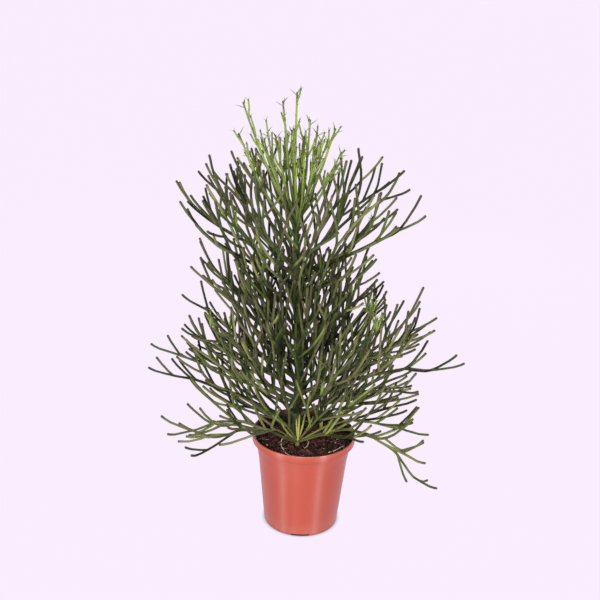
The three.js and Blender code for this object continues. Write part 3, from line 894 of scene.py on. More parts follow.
def settle(piece: Piece) -> Piece:
    """Turns an object's modifiers into its plain mesh.

    Args:
        piece: The object.

    Returns:
        The same object, with no modifier left on it.
    """
    graph = bpy.context.evaluated_depsgraph_get()
    mesh = bpy.data.meshes.new_from_object(piece.evaluated_get(graph), depsgraph=graph)
    mesh.name = piece.name
    piece.modifiers.clear()
    piece.data = mesh
    return piece


def tube_tool() -> GeometryTool:
    """The tool that sweeps a round skin along strands."""
    tool = GeometryTool("Round skin")
    graph = tool.graph
    sides, waver, size = tool.dial("Sides", "Int"), tool.dial("Waver"), tool.dial("Size")
    curve = graph.made("GeometryNodeMeshToCurve", {"Mesh": tool.geometry})
    moved = tool.shake(curve, graph.math("DIVIDE", 1.0, size), 1.0, waver)
    ring = graph.made("GeometryNodeCurvePrimitiveCircle", {"Resolution": sides, "Radius": 1.0})
    marked = tool.mark(ring, "around", tool.place, "FLOAT_VECTOR", "POINT")
    feeds = {"Curve": moved, "Profile Curve": marked, "Scale": tool.read("girth"), "Fill Caps": True}
    tool.close(tool.smooth(graph.made("GeometryNodeCurveToMesh", feeds)))
    return tool


@dataclass(frozen=True)
class Blade:
    """The form of a narrow, folded leaf, in shares of its width and length."""

    vertices: tuple[int, int, int] = (3, 2, 6)
    belly_low: float = 0.8
    swelling: float = 0.8
    foot: float = 0.2
    taper_from: float = 1.1
    fold: float = 0.45
    curl: float = 0.18

    def tool(self) -> GeometryTool:
        """The tool that stands a leaf at each point of its guide."""
        tool = GeometryTool("Leaves")
        graph = tool.graph
        length, width, thickness = (tool.dial(name) for name in ("Length", "Width", "Thickness"))
        counts = {f"Vertices {axis}": count for axis, count in zip("XYZ", self.vertices)}
        blade = graph.made("GeometryNodeMeshCube", counts)
        split = graph.add("ShaderNodeSeparateXYZ", {0: tool.place})
        x, y, z = (graph.out(split, axis) for axis in "XYZ")
        share = graph.plus(z, 0.5)
        bow = graph.math("SINE", graph.times(graph.math("POWER", share, self.belly_low), math.pi))
        outline = graph.plus(graph.times(bow, self.swelling), self.foot)
        tapered = graph.times(outline, graph.math("SUBTRACT", self.taper_from, share))
        across = graph.times(x, tapered, width)
        fold = graph.times(graph.math("ABSOLUTE", across), self.fold)
        curl = graph.times(share, share, graph.times(length, self.curl))
        depth = graph.plus(graph.times(y, thickness, outline), fold, curl)
        shaped = tool.shape(blade, graph.joined(across, depth, graph.times(share, length)))
        toward, outward = (tool.read(name, "FLOAT_VECTOR") for name in ("toward", "outward"))
        upright = graph.made("FunctionNodeAlignRotationToVector", {"Vector": toward}, axis="Z")
        feeds = {"Rotation": upright, "Vector": outward}
        turned = graph.made("FunctionNodeAlignRotationToVector", feeds, axis="Y", pivot_axis="Z")
        tool.close(tool.stand(tool.geometry, tool.smooth(shaped), turned, tool.read("scale")))
        return tool


@dataclass(frozen=True)
class Crumb:
    """The form of a rough crumb, in shares of its radius, and how rare the large ones are."""

    vertices: int = 3
    least: tuple[float, float, float] = (0.7, 0.7, 0.5)
    most: tuple[float, float, float] = (1.3, 1.3, 0.9)
    rarity: float = 3.0
    grain: float = 420.0
    grain_detail: float = 2.0

    def tool(self) -> GeometryTool:
        """The tool that strews crumbs over a surface."""
        tool = GeometryTool("Crumbs")
        graph = tool.graph
        density, seed = tool.dial("Density"), tool.dial("Seed", "Int")
        small, large = tool.dial("Smallest"), tool.dial("Largest")
        roughness, flat = tool.dial("Roughness"), tool.dial("Flatness")
        feeds = {"Mesh": tool.geometry, "Density": density, "Seed": seed}
        spread = graph.made("GeometryNodeDistributePointsOnFaces", feeds, "Points")
        counts = {f"Vertices {axis}": self.vertices for axis in "XYZ"}
        block = graph.made("GeometryNodeMeshCube", {"Size": (2, 2, 2), **counts})
        ball = tool.shape(block, graph.vector("NORMALIZE", tool.place))
        turn = tool.chance(seed, "FLOAT_VECTOR", Max=(math.tau, math.tau, math.tau))
        spin = graph.made("FunctionNodeEulerToRotation", {"Euler": turn})
        form = tool.chance(graph.plus(seed, 1), "FLOAT_VECTOR", Min=self.least, Max=self.most)
        rare = graph.math("POWER", tool.chance(graph.plus(seed, 2)), self.rarity)
        radius = graph.plus(small, graph.times(rare, graph.math("SUBTRACT", large, small)))
        size = graph.vector("MULTIPLY", graph.scaled(form, radius), graph.joined(1.0, 1.0, flat))
        crumbs = tool.stand(spread, ball, spin, size)
        toned = tool.mark(crumbs, "tone", tool.chance(graph.plus(seed, 3)), "FLOAT", "INSTANCE")
        real = graph.made("GeometryNodeRealizeInstances", {"Geometry": toned})
        tool.close(tool.shake(real, self.grain, self.grain_detail, roughness))
        return tool


@dataclass(frozen=True)
class Skin:
    """How many sides a round skin has, and how far and in what length it wavers, in metres."""

    sides: int
    waver: float
    size: float


BARK_SKIN = Skin(sides=20, waver=0.0022, size=0.03)
TWIG_SKIN = Skin(sides=8, waver=0.004, size=0.045)
YOUNG_SKIN = Skin(sides=8, waver=0.003, size=0.03)
ROOT_SKIN = Skin(sides=8, waver=0.001, size=0.006)
FIBRE_SKIN = Skin(sides=5, waver=0.0012, size=0.004)


@dataclass(frozen=True)
class Tools:
    """The growing tools, each built once."""

    tube: GeometryTool
    leaf: GeometryTool
    crumb: GeometryTool

    def sweep(self, name: str, strands: Sequence[Strand], skin: Skin, finish: Material) -> Piece:
        """Sweeps a round skin of a finish along some strands, as a piece of that name."""
        dials = {"sides": skin.sides, "waver": skin.waver, "size": skin.size, "material": finish}
        return self.tube.make(name, guide_mesh(name, strands), **dials)


# ---------------- finishes


class Shader:
    """A material under construction, with the shader that its colours go into."""

    def __init__(self, name: str) -> None:
        """Starts a material with a plain shader."""
        self.material = bpy.data.materials.new(name)
        self.material.use_nodes = True
        self.graph = Graph(self.material.node_tree)
        self.skin = self.material.node_tree.nodes["Principled BSDF"]
        self.place = self.graph.made("ShaderNodeTexCoord", {}, "Object")

    def noise(self, scale: float, detail: float = 3.0, place: Any = None, rough: float = 0.55) -> Socket:
        """Clouds from 0 to 1, so many to a metre, on the object's coordinates or on others."""
        feeds = {"Vector": place or self.place, "Scale": scale, "Detail": detail, "Roughness": rough}
        return self.graph.made("ShaderNodeTexNoise", feeds, "Fac")

    def stretched(self, x: float, y: float, z: float) -> Any:
        """The object's coordinates, each multiplied by a number."""
        return self.graph.vector("MULTIPLY", self.place, (x, y, z))

    def reach(self) -> Any:
        """How far a place lies from the object's upright axis."""
        flat = self.stretched(1.0, 1.0, 0.0)
        return self.graph.made("ShaderNodeVectorMath", {0: flat}, "Value", operation="LENGTH")

    def height(self) -> Any:
        """How high a place lies."""
        return self.graph.made("ShaderNodeSeparateXYZ", {0: self.place}, "Z")

    def spread(self, value: Any, low: float, high: float) -> Any:
        """Stretches the part of a value between two levels to run from 0 to 1."""
        feeds = {"Value": value, "From Min": low, "From Max": high}
        return self.graph.made("ShaderNodeMapRange", feeds, "Result")

    def attribute(self, name: str, output: str = "Fac") -> Any:
        """A number, or with another output a vector, that the piece's mesh carries."""
        return self.graph.made("ShaderNodeAttribute", {}, output, attribute_name=name)

    def mix(self, share: Any, first: Any, second: Any) -> Any:
        """Two colours mixed.

        Args:
            share: How much of the second there is.
            first: A colour or a socket.
            second: A colour or a socket.

        Returns:
            The socket of the mixture.
        """
        node = self.graph.add("ShaderNodeMix", data_type="RGBA")
        for key, value in (("Factor", share), ("A", first), ("B", second)):
            opaque = (*value, 1.0) if isinstance(value, tuple) else value
            self.graph.feed(self.graph.socket(node.inputs, key), opaque)
        return self.graph.out(node, "Result")

    def bump(self, height: Any, strength: float, distance: float) -> None:
        """Roughens the surface by a pattern of some strength and depth in metres."""
        feeds = {"Height": height, "Strength": strength, "Distance": distance}
        self.set(Normal=self.graph.made("ShaderNodeBump", feeds))

    def set(self, **values: Any) -> None:
        """Sets the shader's own sockets, whose names have underscores for spaces."""
        for key, value in values.items():
            self.graph.feed(self.skin.inputs[key.replace("_", " ")], value)


@dataclass(frozen=True)
class GreenSkin:
    """Waxy skin of a pencil stem, streaked along the stem and browned at its tip.

    The tone of a stem, from 0 to 1, runs from the deep to the light colour; on the boughs it is lowered
    near the pot's axis as painted shade inside the crown. Some stems are cooler and some places are
    weathered. Youth brings in the young colour or, on some stems, the fresh one.
    """

    name: str
    deep: Colour
    light: Colour
    young: Colour
    fresh: Colour
    tip: Colour = (0.060, 0.046, 0.028)
    weathered: Colour = (0.118, 0.116, 0.062)
    cool: Colour = (0.045, 0.075, 0.024)
    tone_share: float = 0.85
    tone_start: float = -0.10
    pattern_share: float = 0.24
    tone_curve: float = 1.7
    kinds: float = 17.0
    cool_share: float = 0.55
    weathered_share: float = 0.42
    speck_share: float = 0.35
    tip_curve: float = 1.6
    streak_run: float = 60.0
    streak_shift: float = 40.0
    streak_scale: float = 2.2
    cloud_scale: float = 55.0
    weather_scale: float = 9.0
    speck_scale: float = 1400.0

    def streaks(self, shader: Shader, tone: Any) -> Any:
        """The fine streaks, which run along the stem and differ from one stem to the next."""
        graph = shader.graph
        run = graph.joined(0.0, 0.0, graph.times(shader.attribute("run"), self.streak_run))
        skin = graph.vector("ADD", shader.attribute("around", "Vector"), run)
        shift = graph.joined(graph.times(tone, self.streak_shift))
        return shader.noise(self.streak_scale, 3.0, graph.vector("ADD", skin, shift))

    def material(self) -> Material:
        """The material, which reads the skin's attributes."""
        shader = Shader(self.name)
        graph, tone = shader.graph, shader.attribute("tone")
        streaks = self.streaks(shader, tone)
        kind = graph.math("FRACT", graph.times(tone, self.kinds))
        patterns = [
            graph.times(shader.spread(pattern, 0.3, 0.7), self.pattern_share)
            for pattern in (shader.noise(self.cloud_scale), streaks)
        ]
        level = graph.plus(graph.times(tone, self.tone_share), self.tone_start, *patterns)
        lightness = graph.math("POWER", graph.math("MAXIMUM", level, 0.0), self.tone_curve)
        colour = shader.mix(lightness, self.deep, self.light)
        cool = graph.times(shader.spread(kind, 0.35, 0.0), self.cool_share)
        colour = shader.mix(cool, colour, self.cool)
        clouded = graph.plus(kind, shader.spread(shader.noise(self.weather_scale, 1.0), 0.4, 0.9))
        weather = graph.times(shader.spread(clouded, 0.7, 1.2), self.weathered_share)
        colour = shader.mix(weather, colour, self.weathered)
        young = shader.mix(shader.spread(kind, 0.45, 0.8), self.young, self.fresh)
        colour = shader.mix(shader.attribute("youth"), colour, young)
        specks = shader.spread(shader.noise(self.speck_scale, 2.0), 0.62, 0.75)
        colour = shader.mix(graph.times(specks, self.speck_share), colour, self.tip)
        ragged = graph.times(shader.attribute("tip"), shader.spread(streaks, 0.1, 0.5))
        colour = shader.mix(graph.math("POWER", ragged, self.tip_curve), colour, self.tip)
        shader.set(Base_Color=colour, Roughness=0.52, Specular_IOR_Level=0.03)
        shader.bump(streaks, strength=0.35, distance=0.0004)
        return shader.material


@dataclass(frozen=True)
class Bark:
    """Grey-green bark of the old trunk, finely cracked."""

    name: str = "trunk bark"
    deep: Colour = (0.014, 0.021, 0.007)
    light: Colour = (0.060, 0.076, 0.028)
    crack: Colour = (0.055, 0.036, 0.021)
    crack_scale: float = 420.0
    crack_length: float = 0.22
    cloud_scale: float = 60.0

    def material(self) -> Material:
        """The material, with cracks that run up the trunk."""
        shader = Shader(self.name)
        cracks = shader.noise(self.crack_scale, 4.0, shader.stretched(1.0, 1.0, self.crack_length), 0.65)
        clouds = shader.noise(self.cloud_scale, 4.0)
        colour = shader.mix(shader.spread(clouds, 0.35, 0.65), self.deep, self.light)
        colour = shader.mix(shader.spread(cracks, 0.52, 0.66), colour, self.crack)
        shader.set(Base_Color=colour, Roughness=0.72, Specular_IOR_Level=0.06)
        shader.bump(cracks, strength=0.7, distance=0.0009)
        return shader.material


@dataclass(frozen=True)
class MouldedPlastic:
    """Satin terracotta-coloured plastic, faintly dusty and scuffed, with painted shade under the collar
    and on the inner wall.

    Each range of heights or distances from the axis, in metres, is where a mark grows from
    nothing to its full strength.
    """

    name: str = "terracotta plastic"
    colour: Colour = (0.266, 0.0340, 0.0138)
    worn: Colour = (0.280, 0.050, 0.025)
    worn_share: float = 0.4
    dust: Colour = (0.360, 0.165, 0.115)
    dust_share: float = 0.35
    low_dust: Range = (0.03, 0.0)
    high_dust: Range = (0.152, 0.160)
    # Painted shade below the collar's overhang, laid into the colour.
    painted_collar_shade: Colour = (0.150, 0.018, 0.008)
    painted_collar_shade_share: float = 0.85
    painted_collar_shade_height: Range = (0.1432, 0.1456)
    painted_collar_shade_reach: Range = (0.0816, 0.0806)
    # Painted shade on the pot's inner wall, broken up in ragged patches like a stain.
    painted_inner_shade: Colour = (0.060, 0.018, 0.012)
    inner_height: Range = (0.1485, 0.1495)
    inner_reach: Range = (0.0836, 0.0828)
    roughness: float = 0.40
    scuffing: float = 0.10
    dulling: float = 0.5
    brushing: float = 0.9
    gloss: float = 0.28
    ring_share: float = 0.5

    def pigment(self, shader: Shader, inside: Any) -> Any:
        """The colour: worn in clouds, dusty at the rim and foot, with painted shade under the collar and
        on the inner wall.

        Args:
            shader: The shader that it is for.
            inside: Where the pot's inner wall is.

        Returns:
            The socket of the colour.
        """
        graph, height = shader.graph, shader.height()
        clouds = shader.spread(shader.noise(16.0, 4.0), 0.35, 0.7)
        colour = shader.mix(graph.times(clouds, self.worn_share), self.colour, self.worn)
        low = graph.times(shader.spread(height, *self.low_dust), shader.noise(90.0))
        high = graph.times(shader.spread(height, *self.high_dust), shader.noise(140.0))
        colour = shader.mix(graph.times(graph.plus(low, high), self.dust_share), colour, self.dust)
        # Painted shade where the wall meets the underside of the collar.
        band = shader.spread(height, *self.painted_collar_shade_height)
        outside = shader.spread(shader.reach(), *self.painted_collar_shade_reach)
        colour = shader.mix(graph.times(band, outside, self.painted_collar_shade_share), colour, self.painted_collar_shade)
        # Painted shade over the inner wall, in ragged patches.
        ragged = shader.spread(shader.noise(70.0, 3.0), 0.0, 0.5)
        return shader.mix(graph.times(inside, ragged), colour, self.painted_inner_shade)

    def material(self) -> Material:
        """The material, with moulding marks round the pot that draw its highlights upright."""
        shader = Shader(self.name)
        graph = shader.graph
        inside = graph.times(
            shader.spread(shader.reach(), *self.inner_reach),
            shader.spread(shader.height(), *self.inner_height),
        )
        rings = shader.noise(300.0, 2.0, shader.stretched(0.02, 0.02, 1.0))
        scuffs = shader.spread(shader.noise(900.0, 2.0), 0.45, 0.75)
        rough = graph.plus(
            self.roughness, graph.times(scuffs, self.scuffing), graph.times(inside, self.dulling)
        )
        gloss = graph.times(graph.math("SUBTRACT", 1.0, inside), self.gloss)
        around = graph.vector("CROSS_PRODUCT", tuple(UP), shader.place)
        shader.set(Base_Color=self.pigment(shader, inside), Roughness=rough, Specular_IOR_Level=0.5)
        shader.set(Anisotropic=self.brushing, Anisotropic_Rotation=0.25, Tangent=around)
        shader.set(Coat_Weight=gloss, Coat_Roughness=0.25)
        marks = graph.plus(graph.times(rings, self.ring_share), scuffs)
        shader.bump(marks, strength=0.06, distance=0.0003)
        return shader.material


@dataclass(frozen=True)
class CrumblyPeat:
    """Damp, dark peat whose crumbs differ in tone."""

    name: str = "damp peat"
    deep: Colour = (0.008, 0.0030, 0.0024)
    light: Colour = (0.140, 0.056, 0.046)
    tone_curve: float = 4.0
    tone_share: float = 0.95
    grain_scale: float = 900.0
    grain_share: float = 0.55

    def material(self) -> Material:
        """The material, rough and broken up at the size of its grains."""
        shader = Shader(self.name)
        graph = shader.graph
        grain = shader.noise(self.grain_scale, 4.0, rough=0.7)
        rare = graph.math("POWER", shader.attribute("tone"), self.tone_curve)
        tone = graph.plus(
            graph.times(rare, self.tone_share),
            graph.times(shader.spread(grain, 0.35, 0.75), self.grain_share),
        )
        colour = shader.mix(tone, self.deep, self.light)
        shader.set(Base_Color=colour, Roughness=0.88, Specular_IOR_Level=0.1)
        shader.bump(grain, strength=0.9, distance=0.0012)
        return shader.material


@dataclass(frozen=True)
class DryFibre:
    """Pale, dry plant fibre, for roots and for specks in the peat."""

    name: str
    pale: Colour
    dark: Colour
    grain_scale: float = 500.0

    def material(self) -> Material:
        """The material, mottled from pale to dark."""
        shader = Shader(self.name)
        grain = shader.noise(self.grain_scale)
        colour = shader.mix(shader.spread(grain, 0.35, 0.65), self.pale, self.dark)
        shader.set(Base_Color=colour, Roughness=0.8, Specular_IOR_Level=0.25)
        shader.bump(grain, strength=0.5, distance=0.0004)
        return shader.material


OLIVE = GreenSkin(
    name="olive skin",
    deep=(0.006, 0.008, 0.002),
    light=(0.150, 0.162, 0.062),
    young=(0.20, 0.28, 0.055),
    fresh=(0.20, 0.28, 0.055),
)
YOUNG = GreenSkin(
    name="young skin",
    deep=(0.016, 0.024, 0.005),
    light=(0.085, 0.138, 0.013),
    young=(0.175, 0.225, 0.065),
    fresh=(0.190, 0.268, 0.042),
)
PALE = GreenSkin(
    name="cutting skin",
    deep=(0.010, 0.013, 0.003),
    light=(0.165, 0.190, 0.056),
    young=(0.40, 0.40, 0.11),
    fresh=(0.52, 0.43, 0.14),
)
ROOT = DryFibre(name="dry root", pale=(0.80, 0.68, 0.48), dark=(0.46, 0.33, 0.19))
SPECK = DryFibre(
    name="pale speck", pale=(0.46, 0.38, 0.28), dark=(0.20, 0.13, 0.08), grain_scale=260.0
)


@dataclass(frozen=True)
class Finishes:
    """Every finish of the object, each made once."""

    pot: Material = field(default_factory=MouldedPlastic().material)
    peat: Material = field(default_factory=CrumblyPeat().material)
    bark: Material = field(default_factory=Bark().material)
    green: Material = field(default_factory=OLIVE.material)
    young: Material = field(default_factory=YOUNG.material)
    cutting: Material = field(default_factory=PALE.material)
    root: Material = field(default_factory=ROOT.material)
    speck: Material = field(default_factory=SPECK.material)


def enrol(
    piece: Piece, nodes: Sequence[str] = (), material: Any = None
) -> Piece:
    """Makes a finished piece part of the object.

    Args:
        piece: The piece.
        nodes: The solids that it stands for.
        material: Its material, where it has none yet.

    Returns:
        The piece.
    """
    if material:
        piece.data.materials.clear()
        piece.data.materials.append(material)
    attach(piece, "root")
    if nodes:
        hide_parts(*nodes)
    LOG.info("%s: %d faces", piece.name, len(piece.data.polygons))
    return piece


# ---------------- pot


@dataclass(frozen=True)
class NurseryPot:
    """The injection-moulded pot, turned from its section and then notched and drilled, in mm."""

    height: float = 160
    rim_radius: float = 85
    collar_height: float = 12
    collar_radius: float = 84.2
    flare_height: float = 118
    flare_radius: float = 73
    neck_radius: float = 80
    waist_depth: float = 0.8
    base_radius: float = 61.6
    corner_radius: float = 4
    wall: float = 1.6
    floor_height: float = 4
    hub_radius: float = 15
    segments: int = 192
    corner_steps: int = 5
    corner_share: float = 0.45
    smooth_angle: float = 32
    notches: int = 4
    notch_width: float = 30
    notch_height: float = 3.4
    notch_depth: float = 16
    hole_radius: float = 5
    hole_circle: float = 38
    hole_segments: int = 24

    def section(self) -> list[tuple[float, float, float]]:
        """The corners of the wall's section as radius, height and fillet, from hub to floor."""
        collar = self.height - self.collar_height
        middle = (self.flare_height + collar) / 2
        waist = (self.flare_radius + self.neck_radius) / 2 - self.waist_depth
        inner_foot = self.base_radius - self.corner_radius - self.wall
        top_foot = self.floor_height + self.wall
        return [
            (self.hub_radius, 0, 0.6),
            (self.hub_radius + 1, self.floor_height, 0.6),
            (inner_foot, self.floor_height, 0.6),
            (inner_foot, 0, 0.5),
            (self.base_radius - 0.4, 0, self.corner_radius),
            (self.flare_radius, self.flare_height, 0.4),
            (self.flare_radius + 0.4, self.flare_height + 0.5, 0.4),
            (waist, middle, 12),
            (self.neck_radius, collar + 0.2, 0.8),
            (self.collar_radius, collar, 0.7),
            (self.rim_radius, self.height - 0.7, 0.8),
            (self.rim_radius - 0.7, self.height, 0.5),
            (self.rim_radius - self.wall - 0.6, self.height, 0.6),
            (self.collar_radius - self.wall, collar + self.wall, 0.5),
            (self.neck_radius - self.wall, collar + self.wall, 0.5),
            (waist - self.wall, middle, 8),
            (self.flare_radius - self.wall, self.flare_height, 5),
            (self.base_radius - self.wall, top_foot, 2),
        ]

    def outline(self) -> list[tuple[float, float]]:
        """The section with its corners rounded.

        Returns:
            Radius and height of each point in mm, starting and ending on the axis.
        """
        inner_floor = (0.0, self.floor_height + self.wall, 0.0)
        corners = [(0.0, 0.0, 0.0), *self.section(), inner_floor]
        points = [(0.0, 0.0)]
        for before, (radius, height, fillet), after in zip(corners, corners[1:], corners[2:]):
            here = np.array([radius, height])
            arms = [np.array(side[:2]) - here for side in (before, after)]
            reach = min(fillet, self.corner_share * min(np.linalg.norm(arm) for arm in arms))
            start, end = (here + reach * unit(arm) for arm in arms)
            rounded = arc(start, here, end, np.linspace(0, 1, self.corner_steps))
            points += [(float(r), float(z)) for r, z in rounded]
        return [*points, inner_floor[:2]]

    def cutters(self) -> Piece:
        """The notches round the foot and the holes in the floor, as one mesh to cut away."""
        shapes = bmesh.new()
        notch = Vector((self.notch_depth, self.notch_width, 2 * self.notch_height)) * MM
        for i in range(self.notches):
            made = bmesh.ops.create_cube(shapes, size=1.0)["verts"]
            bmesh.ops.scale(shapes, vec=notch, verts=made)
            bmesh.ops.translate(shapes, vec=(self.base_radius * MM, 0, 0), verts=made)
            self.swing(made, i / self.notches)
        for i in range(self.notches):
            made = bmesh.ops.create_cone(
                shapes,
                cap_ends=True,
                segments=self.hole_segments,
                radius1=self.hole_radius * MM,
                radius2=self.hole_radius * MM,
                depth=4 * self.floor_height * MM,
            )["verts"]
            place = (self.hole_circle * MM, 0, self.floor_height * MM)
            bmesh.ops.translate(shapes, vec=place, verts=made)
            self.swing(made, (i + 0.5) / self.notches)
        return new_object("cutters", mesh_of(shapes, "cutters"))

    @staticmethod
    def swing(vertices: Sequence[bmesh.types.BMVert], share: float) -> None:
        """Turns some vertices round the pot's axis by a share of a full turn."""
        cosine, sine = math.cos(share * math.tau), math.sin(share * math.tau)
        for vertex in vertices:
            x, y, z = vertex.co
            vertex.co = (x * cosine - y * sine, x * sine + y * cosine, z)

    def build(self, finishes: Finishes) -> Piece:
        """Turns, notches and dresses the pot."""
        pot = new_object("nursery_pot", lathe("nursery_pot", self.outline(), self.segments))
        cutters = self.cutters()
        cut = pot.modifiers.new("Drainage", "BOOLEAN")
        cut.object, cut.operation, cut.solver = cutters, "DIFFERENCE", "EXACT"
        settle(pot)
        bpy.data.objects.remove(cutters)
        shade_smooth(pot.data)
        pot.data.set_sharp_from_angle(angle=math.radians(self.smooth_angle))
        return enrol(pot, ["pot"], finishes.pot)


def shade_smooth(mesh: Mesh) -> None:
    """Shades all faces of a mesh smoothly."""
    mesh.polygons.foreach_set("use_smooth", [True] * len(mesh.polygons))


def mesh_of(shape: bmesh.types.BMesh, name: str) -> Mesh:
    """Turns a shape that is being edited into a mesh of that name."""
    mesh = bpy.data.meshes.new(name)
    shape.to_mesh(mesh)
    shape.free()
    return mesh


def lathe(name: str, outline: Sequence[tuple[float, float]], segments: int) -> Mesh:
    """A closed solid of revolution about +Z.

    Args:
        name: The mesh's name.
        outline: Radius and height of each point in mm, starting and ending on the axis.
        segments: How many steps there are round the axis.

    Returns:
        The mesh, with its faces outwards.
    """
    shape = bmesh.new()
    turns = [i * math.tau / segments for i in range(segments)]
    rings = []
    for radius, height in outline[1:-1]:
        spots = [(radius * math.cos(t) * MM, radius * math.sin(t) * MM, height * MM) for t in turns]
        rings.append([shape.verts.new(spot) for spot in spots])
    poles = [shape.verts.new((0, 0, outline[end][1] * MM)) for end in (0, -1)]
    for lower, upper in zip(rings, rings[1:]):
        for i in range(segments):
            j = (i + 1) % segments
            shape.faces.new((lower[i], lower[j], upper[j], upper[i]))
    for i in range(segments):
        j = (i + 1) % segments
        shape.faces.new((poles[0], rings[0][j], rings[0][i]))
        shape.faces.new((poles[1], rings[-1][i], rings[-1][j]))
    return mesh_of(shape, name)


# ---------------- peat


@dataclass(frozen=True)
class Fibres:
    """The short dry fibres on the peat, in mm and degrees."""

    count: int = 46
    spread: float = 72
    edge: float = 75
    nodes: int = 3
    length: Range = (2, 6)
    lift: Range = (1.0, 2.4)
    bend: float = 50
    radius: Range = (0.14, 0.26)
    stations: tuple[float, ...] = (0.0, 0.35, 0.7)


@dataclass(frozen=True)
class PeatPlug:
    """The peat in the pot, crumbly on top, in mm."""

    level: float = 149
    bump: float = 1.6
    bump_length: float = 23
    slow_share: float = 0.7
    crumb_length: float = 9
    quick_share: float = 0.5
    clod: float = 1.5
    clod_length: float = 7
    grain: float = 0.7
    grain_length: float = 2.2
    bottom: float = 5.9
    foot_radius: float = 59.7
    wall: tuple[Range, ...] = ((71.1, 118), (74.2, 133), (77.7, 148.6))
    rings: int = 62
    segments: int = 200
    cells: int = 60
    crumb_inset: float = 2.5
    speck_inset: float = 4.0
    speck_lift: float = 1.2

    @property
    def rim(self) -> float:
        """How far the top reaches from the pot's axis."""
        return self.wall[-1][0]

    def height_at(self, x: float, y: float) -> float:
        """The height of the peat's slow and quick bumps at a place."""
        slow = math.sin(x / self.bump_length + 0.7) * math.cos(y / self.bump_length - 0.4)
        quick = math.sin((x - y) / self.crumb_length)
        quick *= math.sin((x + 2 * y) / (1.5 * self.crumb_length))
        return self.level + self.bump * (self.slow_share * slow + self.quick_share * quick)

    def rough_height(self, x: float, y: float) -> float:
        """The height of the peat with its clods and grains on it."""
        clods = noise.fractal(Vector((x / self.clod_length, y / self.clod_length, 3.1)), 0.9, 2.1, 3)
        grains = noise.fractal(Vector((x / self.grain_length, y / self.grain_length, 8.7)), 0.8, 2.0, 3)
        return self.height_at(x, y) + self.clod * clods + self.grain * grains

    def build(self, finishes: Finishes) -> Piece:
        """Builds the plug with its broken top."""
        outline = [(0.0, self.bottom), (self.foot_radius, self.bottom), *self.wall]
        outline += [(self.rim * ring / self.rings, self.level) for ring in range(self.rings - 1, -1, -1)]
        mesh = lathe("peat_surface", outline, self.segments)
        for vertex in mesh.vertices:
            x, y, z = (value / MM for value in vertex.co)
            if z > self.level - 0.01 and math.hypot(x, y) < self.rim - 0.1:
                vertex.co.z = self.rough_height(x, y) * MM
        mesh.attributes.new("tone", "FLOAT", "POINT")
        shade_smooth(mesh)
        return enrol(new_object("peat_surface", mesh), ["soil"], finishes.peat)

    def top(self, inset: float, lift: float = 0.0) -> Mesh:
        """The plain bumpy top surface that crumbs lie on.

        Args:
            inset: How far it stays from the pot's wall.
            lift: How far it is raised.

        Returns:
            An open disc of faces.
        """
        shape = bmesh.new()
        bmesh.ops.create_grid(shape, x_segments=self.cells, y_segments=self.cells, size=self.rim * MM)
        rim = (self.rim - inset) * MM
        outside = [vertex for vertex in shape.verts if math.hypot(*vertex.co.xy) > rim]
        bmesh.ops.delete(shape, geom=outside, context="VERTS")
        for vertex in shape.verts:
            vertex.co.z = self.height_at(vertex.co.x / MM, vertex.co.y / MM) * MM
            vertex.co.z += lift * MM
        return mesh_of(shape, "peat_top")

    def strew(self, tool: GeometryTool, finishes: Finishes) -> None:
        """Strews crumbs and pale specks over the top."""
        crumbs = tool.make(
            "peat_crumbs",
            self.top(self.crumb_inset),
            density=90000.0,
            seed=7,
            smallest=0.0012,
            largest=0.0062,
            roughness=0.0026,
            flatness=0.75,
            material=finishes.peat,
        )
        enrol(crumbs)
        specks = tool.make(
            "peat_specks",
            self.top(self.speck_inset, self.speck_lift),
            density=15000.0,
            seed=23,
            smallest=0.0005,
            largest=0.0021,
            roughness=0.0008,
            flatness=0.5,
            material=finishes.speck,
        )
        enrol(specks)

    def fibre(self, rule: Fibres, i: int) -> list[list[float]]:
        """The nodes of one fibre, fewer than the rule's where it would reach the pot's wall."""
        reach = rule.spread * math.sqrt(draw(i, Trait.FIBRE_REACH))
        at = reach * heading(between(0, 360, i, Trait.FIBRE_BEARING))
        turn = between(0, 360, i, Trait.FIBRE_TURN)
        length = between(*rule.length, i, Trait.FIBRE_LENGTH)
        lift = between(*rule.lift, i, Trait.FIBRE_LIFT)
        nodes = []
        while len(nodes) < rule.nodes and math.hypot(at[0], at[1]) <= rule.edge:
            nodes.append([at[0], at[1], self.height_at(at[0], at[1]) + lift])
            at = at + length * heading(turn)
            turn += between(-rule.bend, rule.bend, i, Trait.FIBRE_BEND, len(nodes))
        return nodes

    def lay_fibres(self, tools: Tools, finishes: Finishes) -> None:
        """Lays short dry fibres on the top."""
        rule = Fibres()
        strands = []
        for i in range(rule.count):
            nodes = self.fibre(rule, i)
            if len(nodes) == rule.nodes:
                radii = np.full(rule.nodes, between(*rule.radius, i, Trait.FIBRE_RADIUS))
                strands.append(StrandRule.even(rule.stations).strand(np.array(nodes), radii, i))
        enrol(tools.sweep("peat_fibres", strands, FIBRE_SKIN, finishes.root))


# ---------------- stems


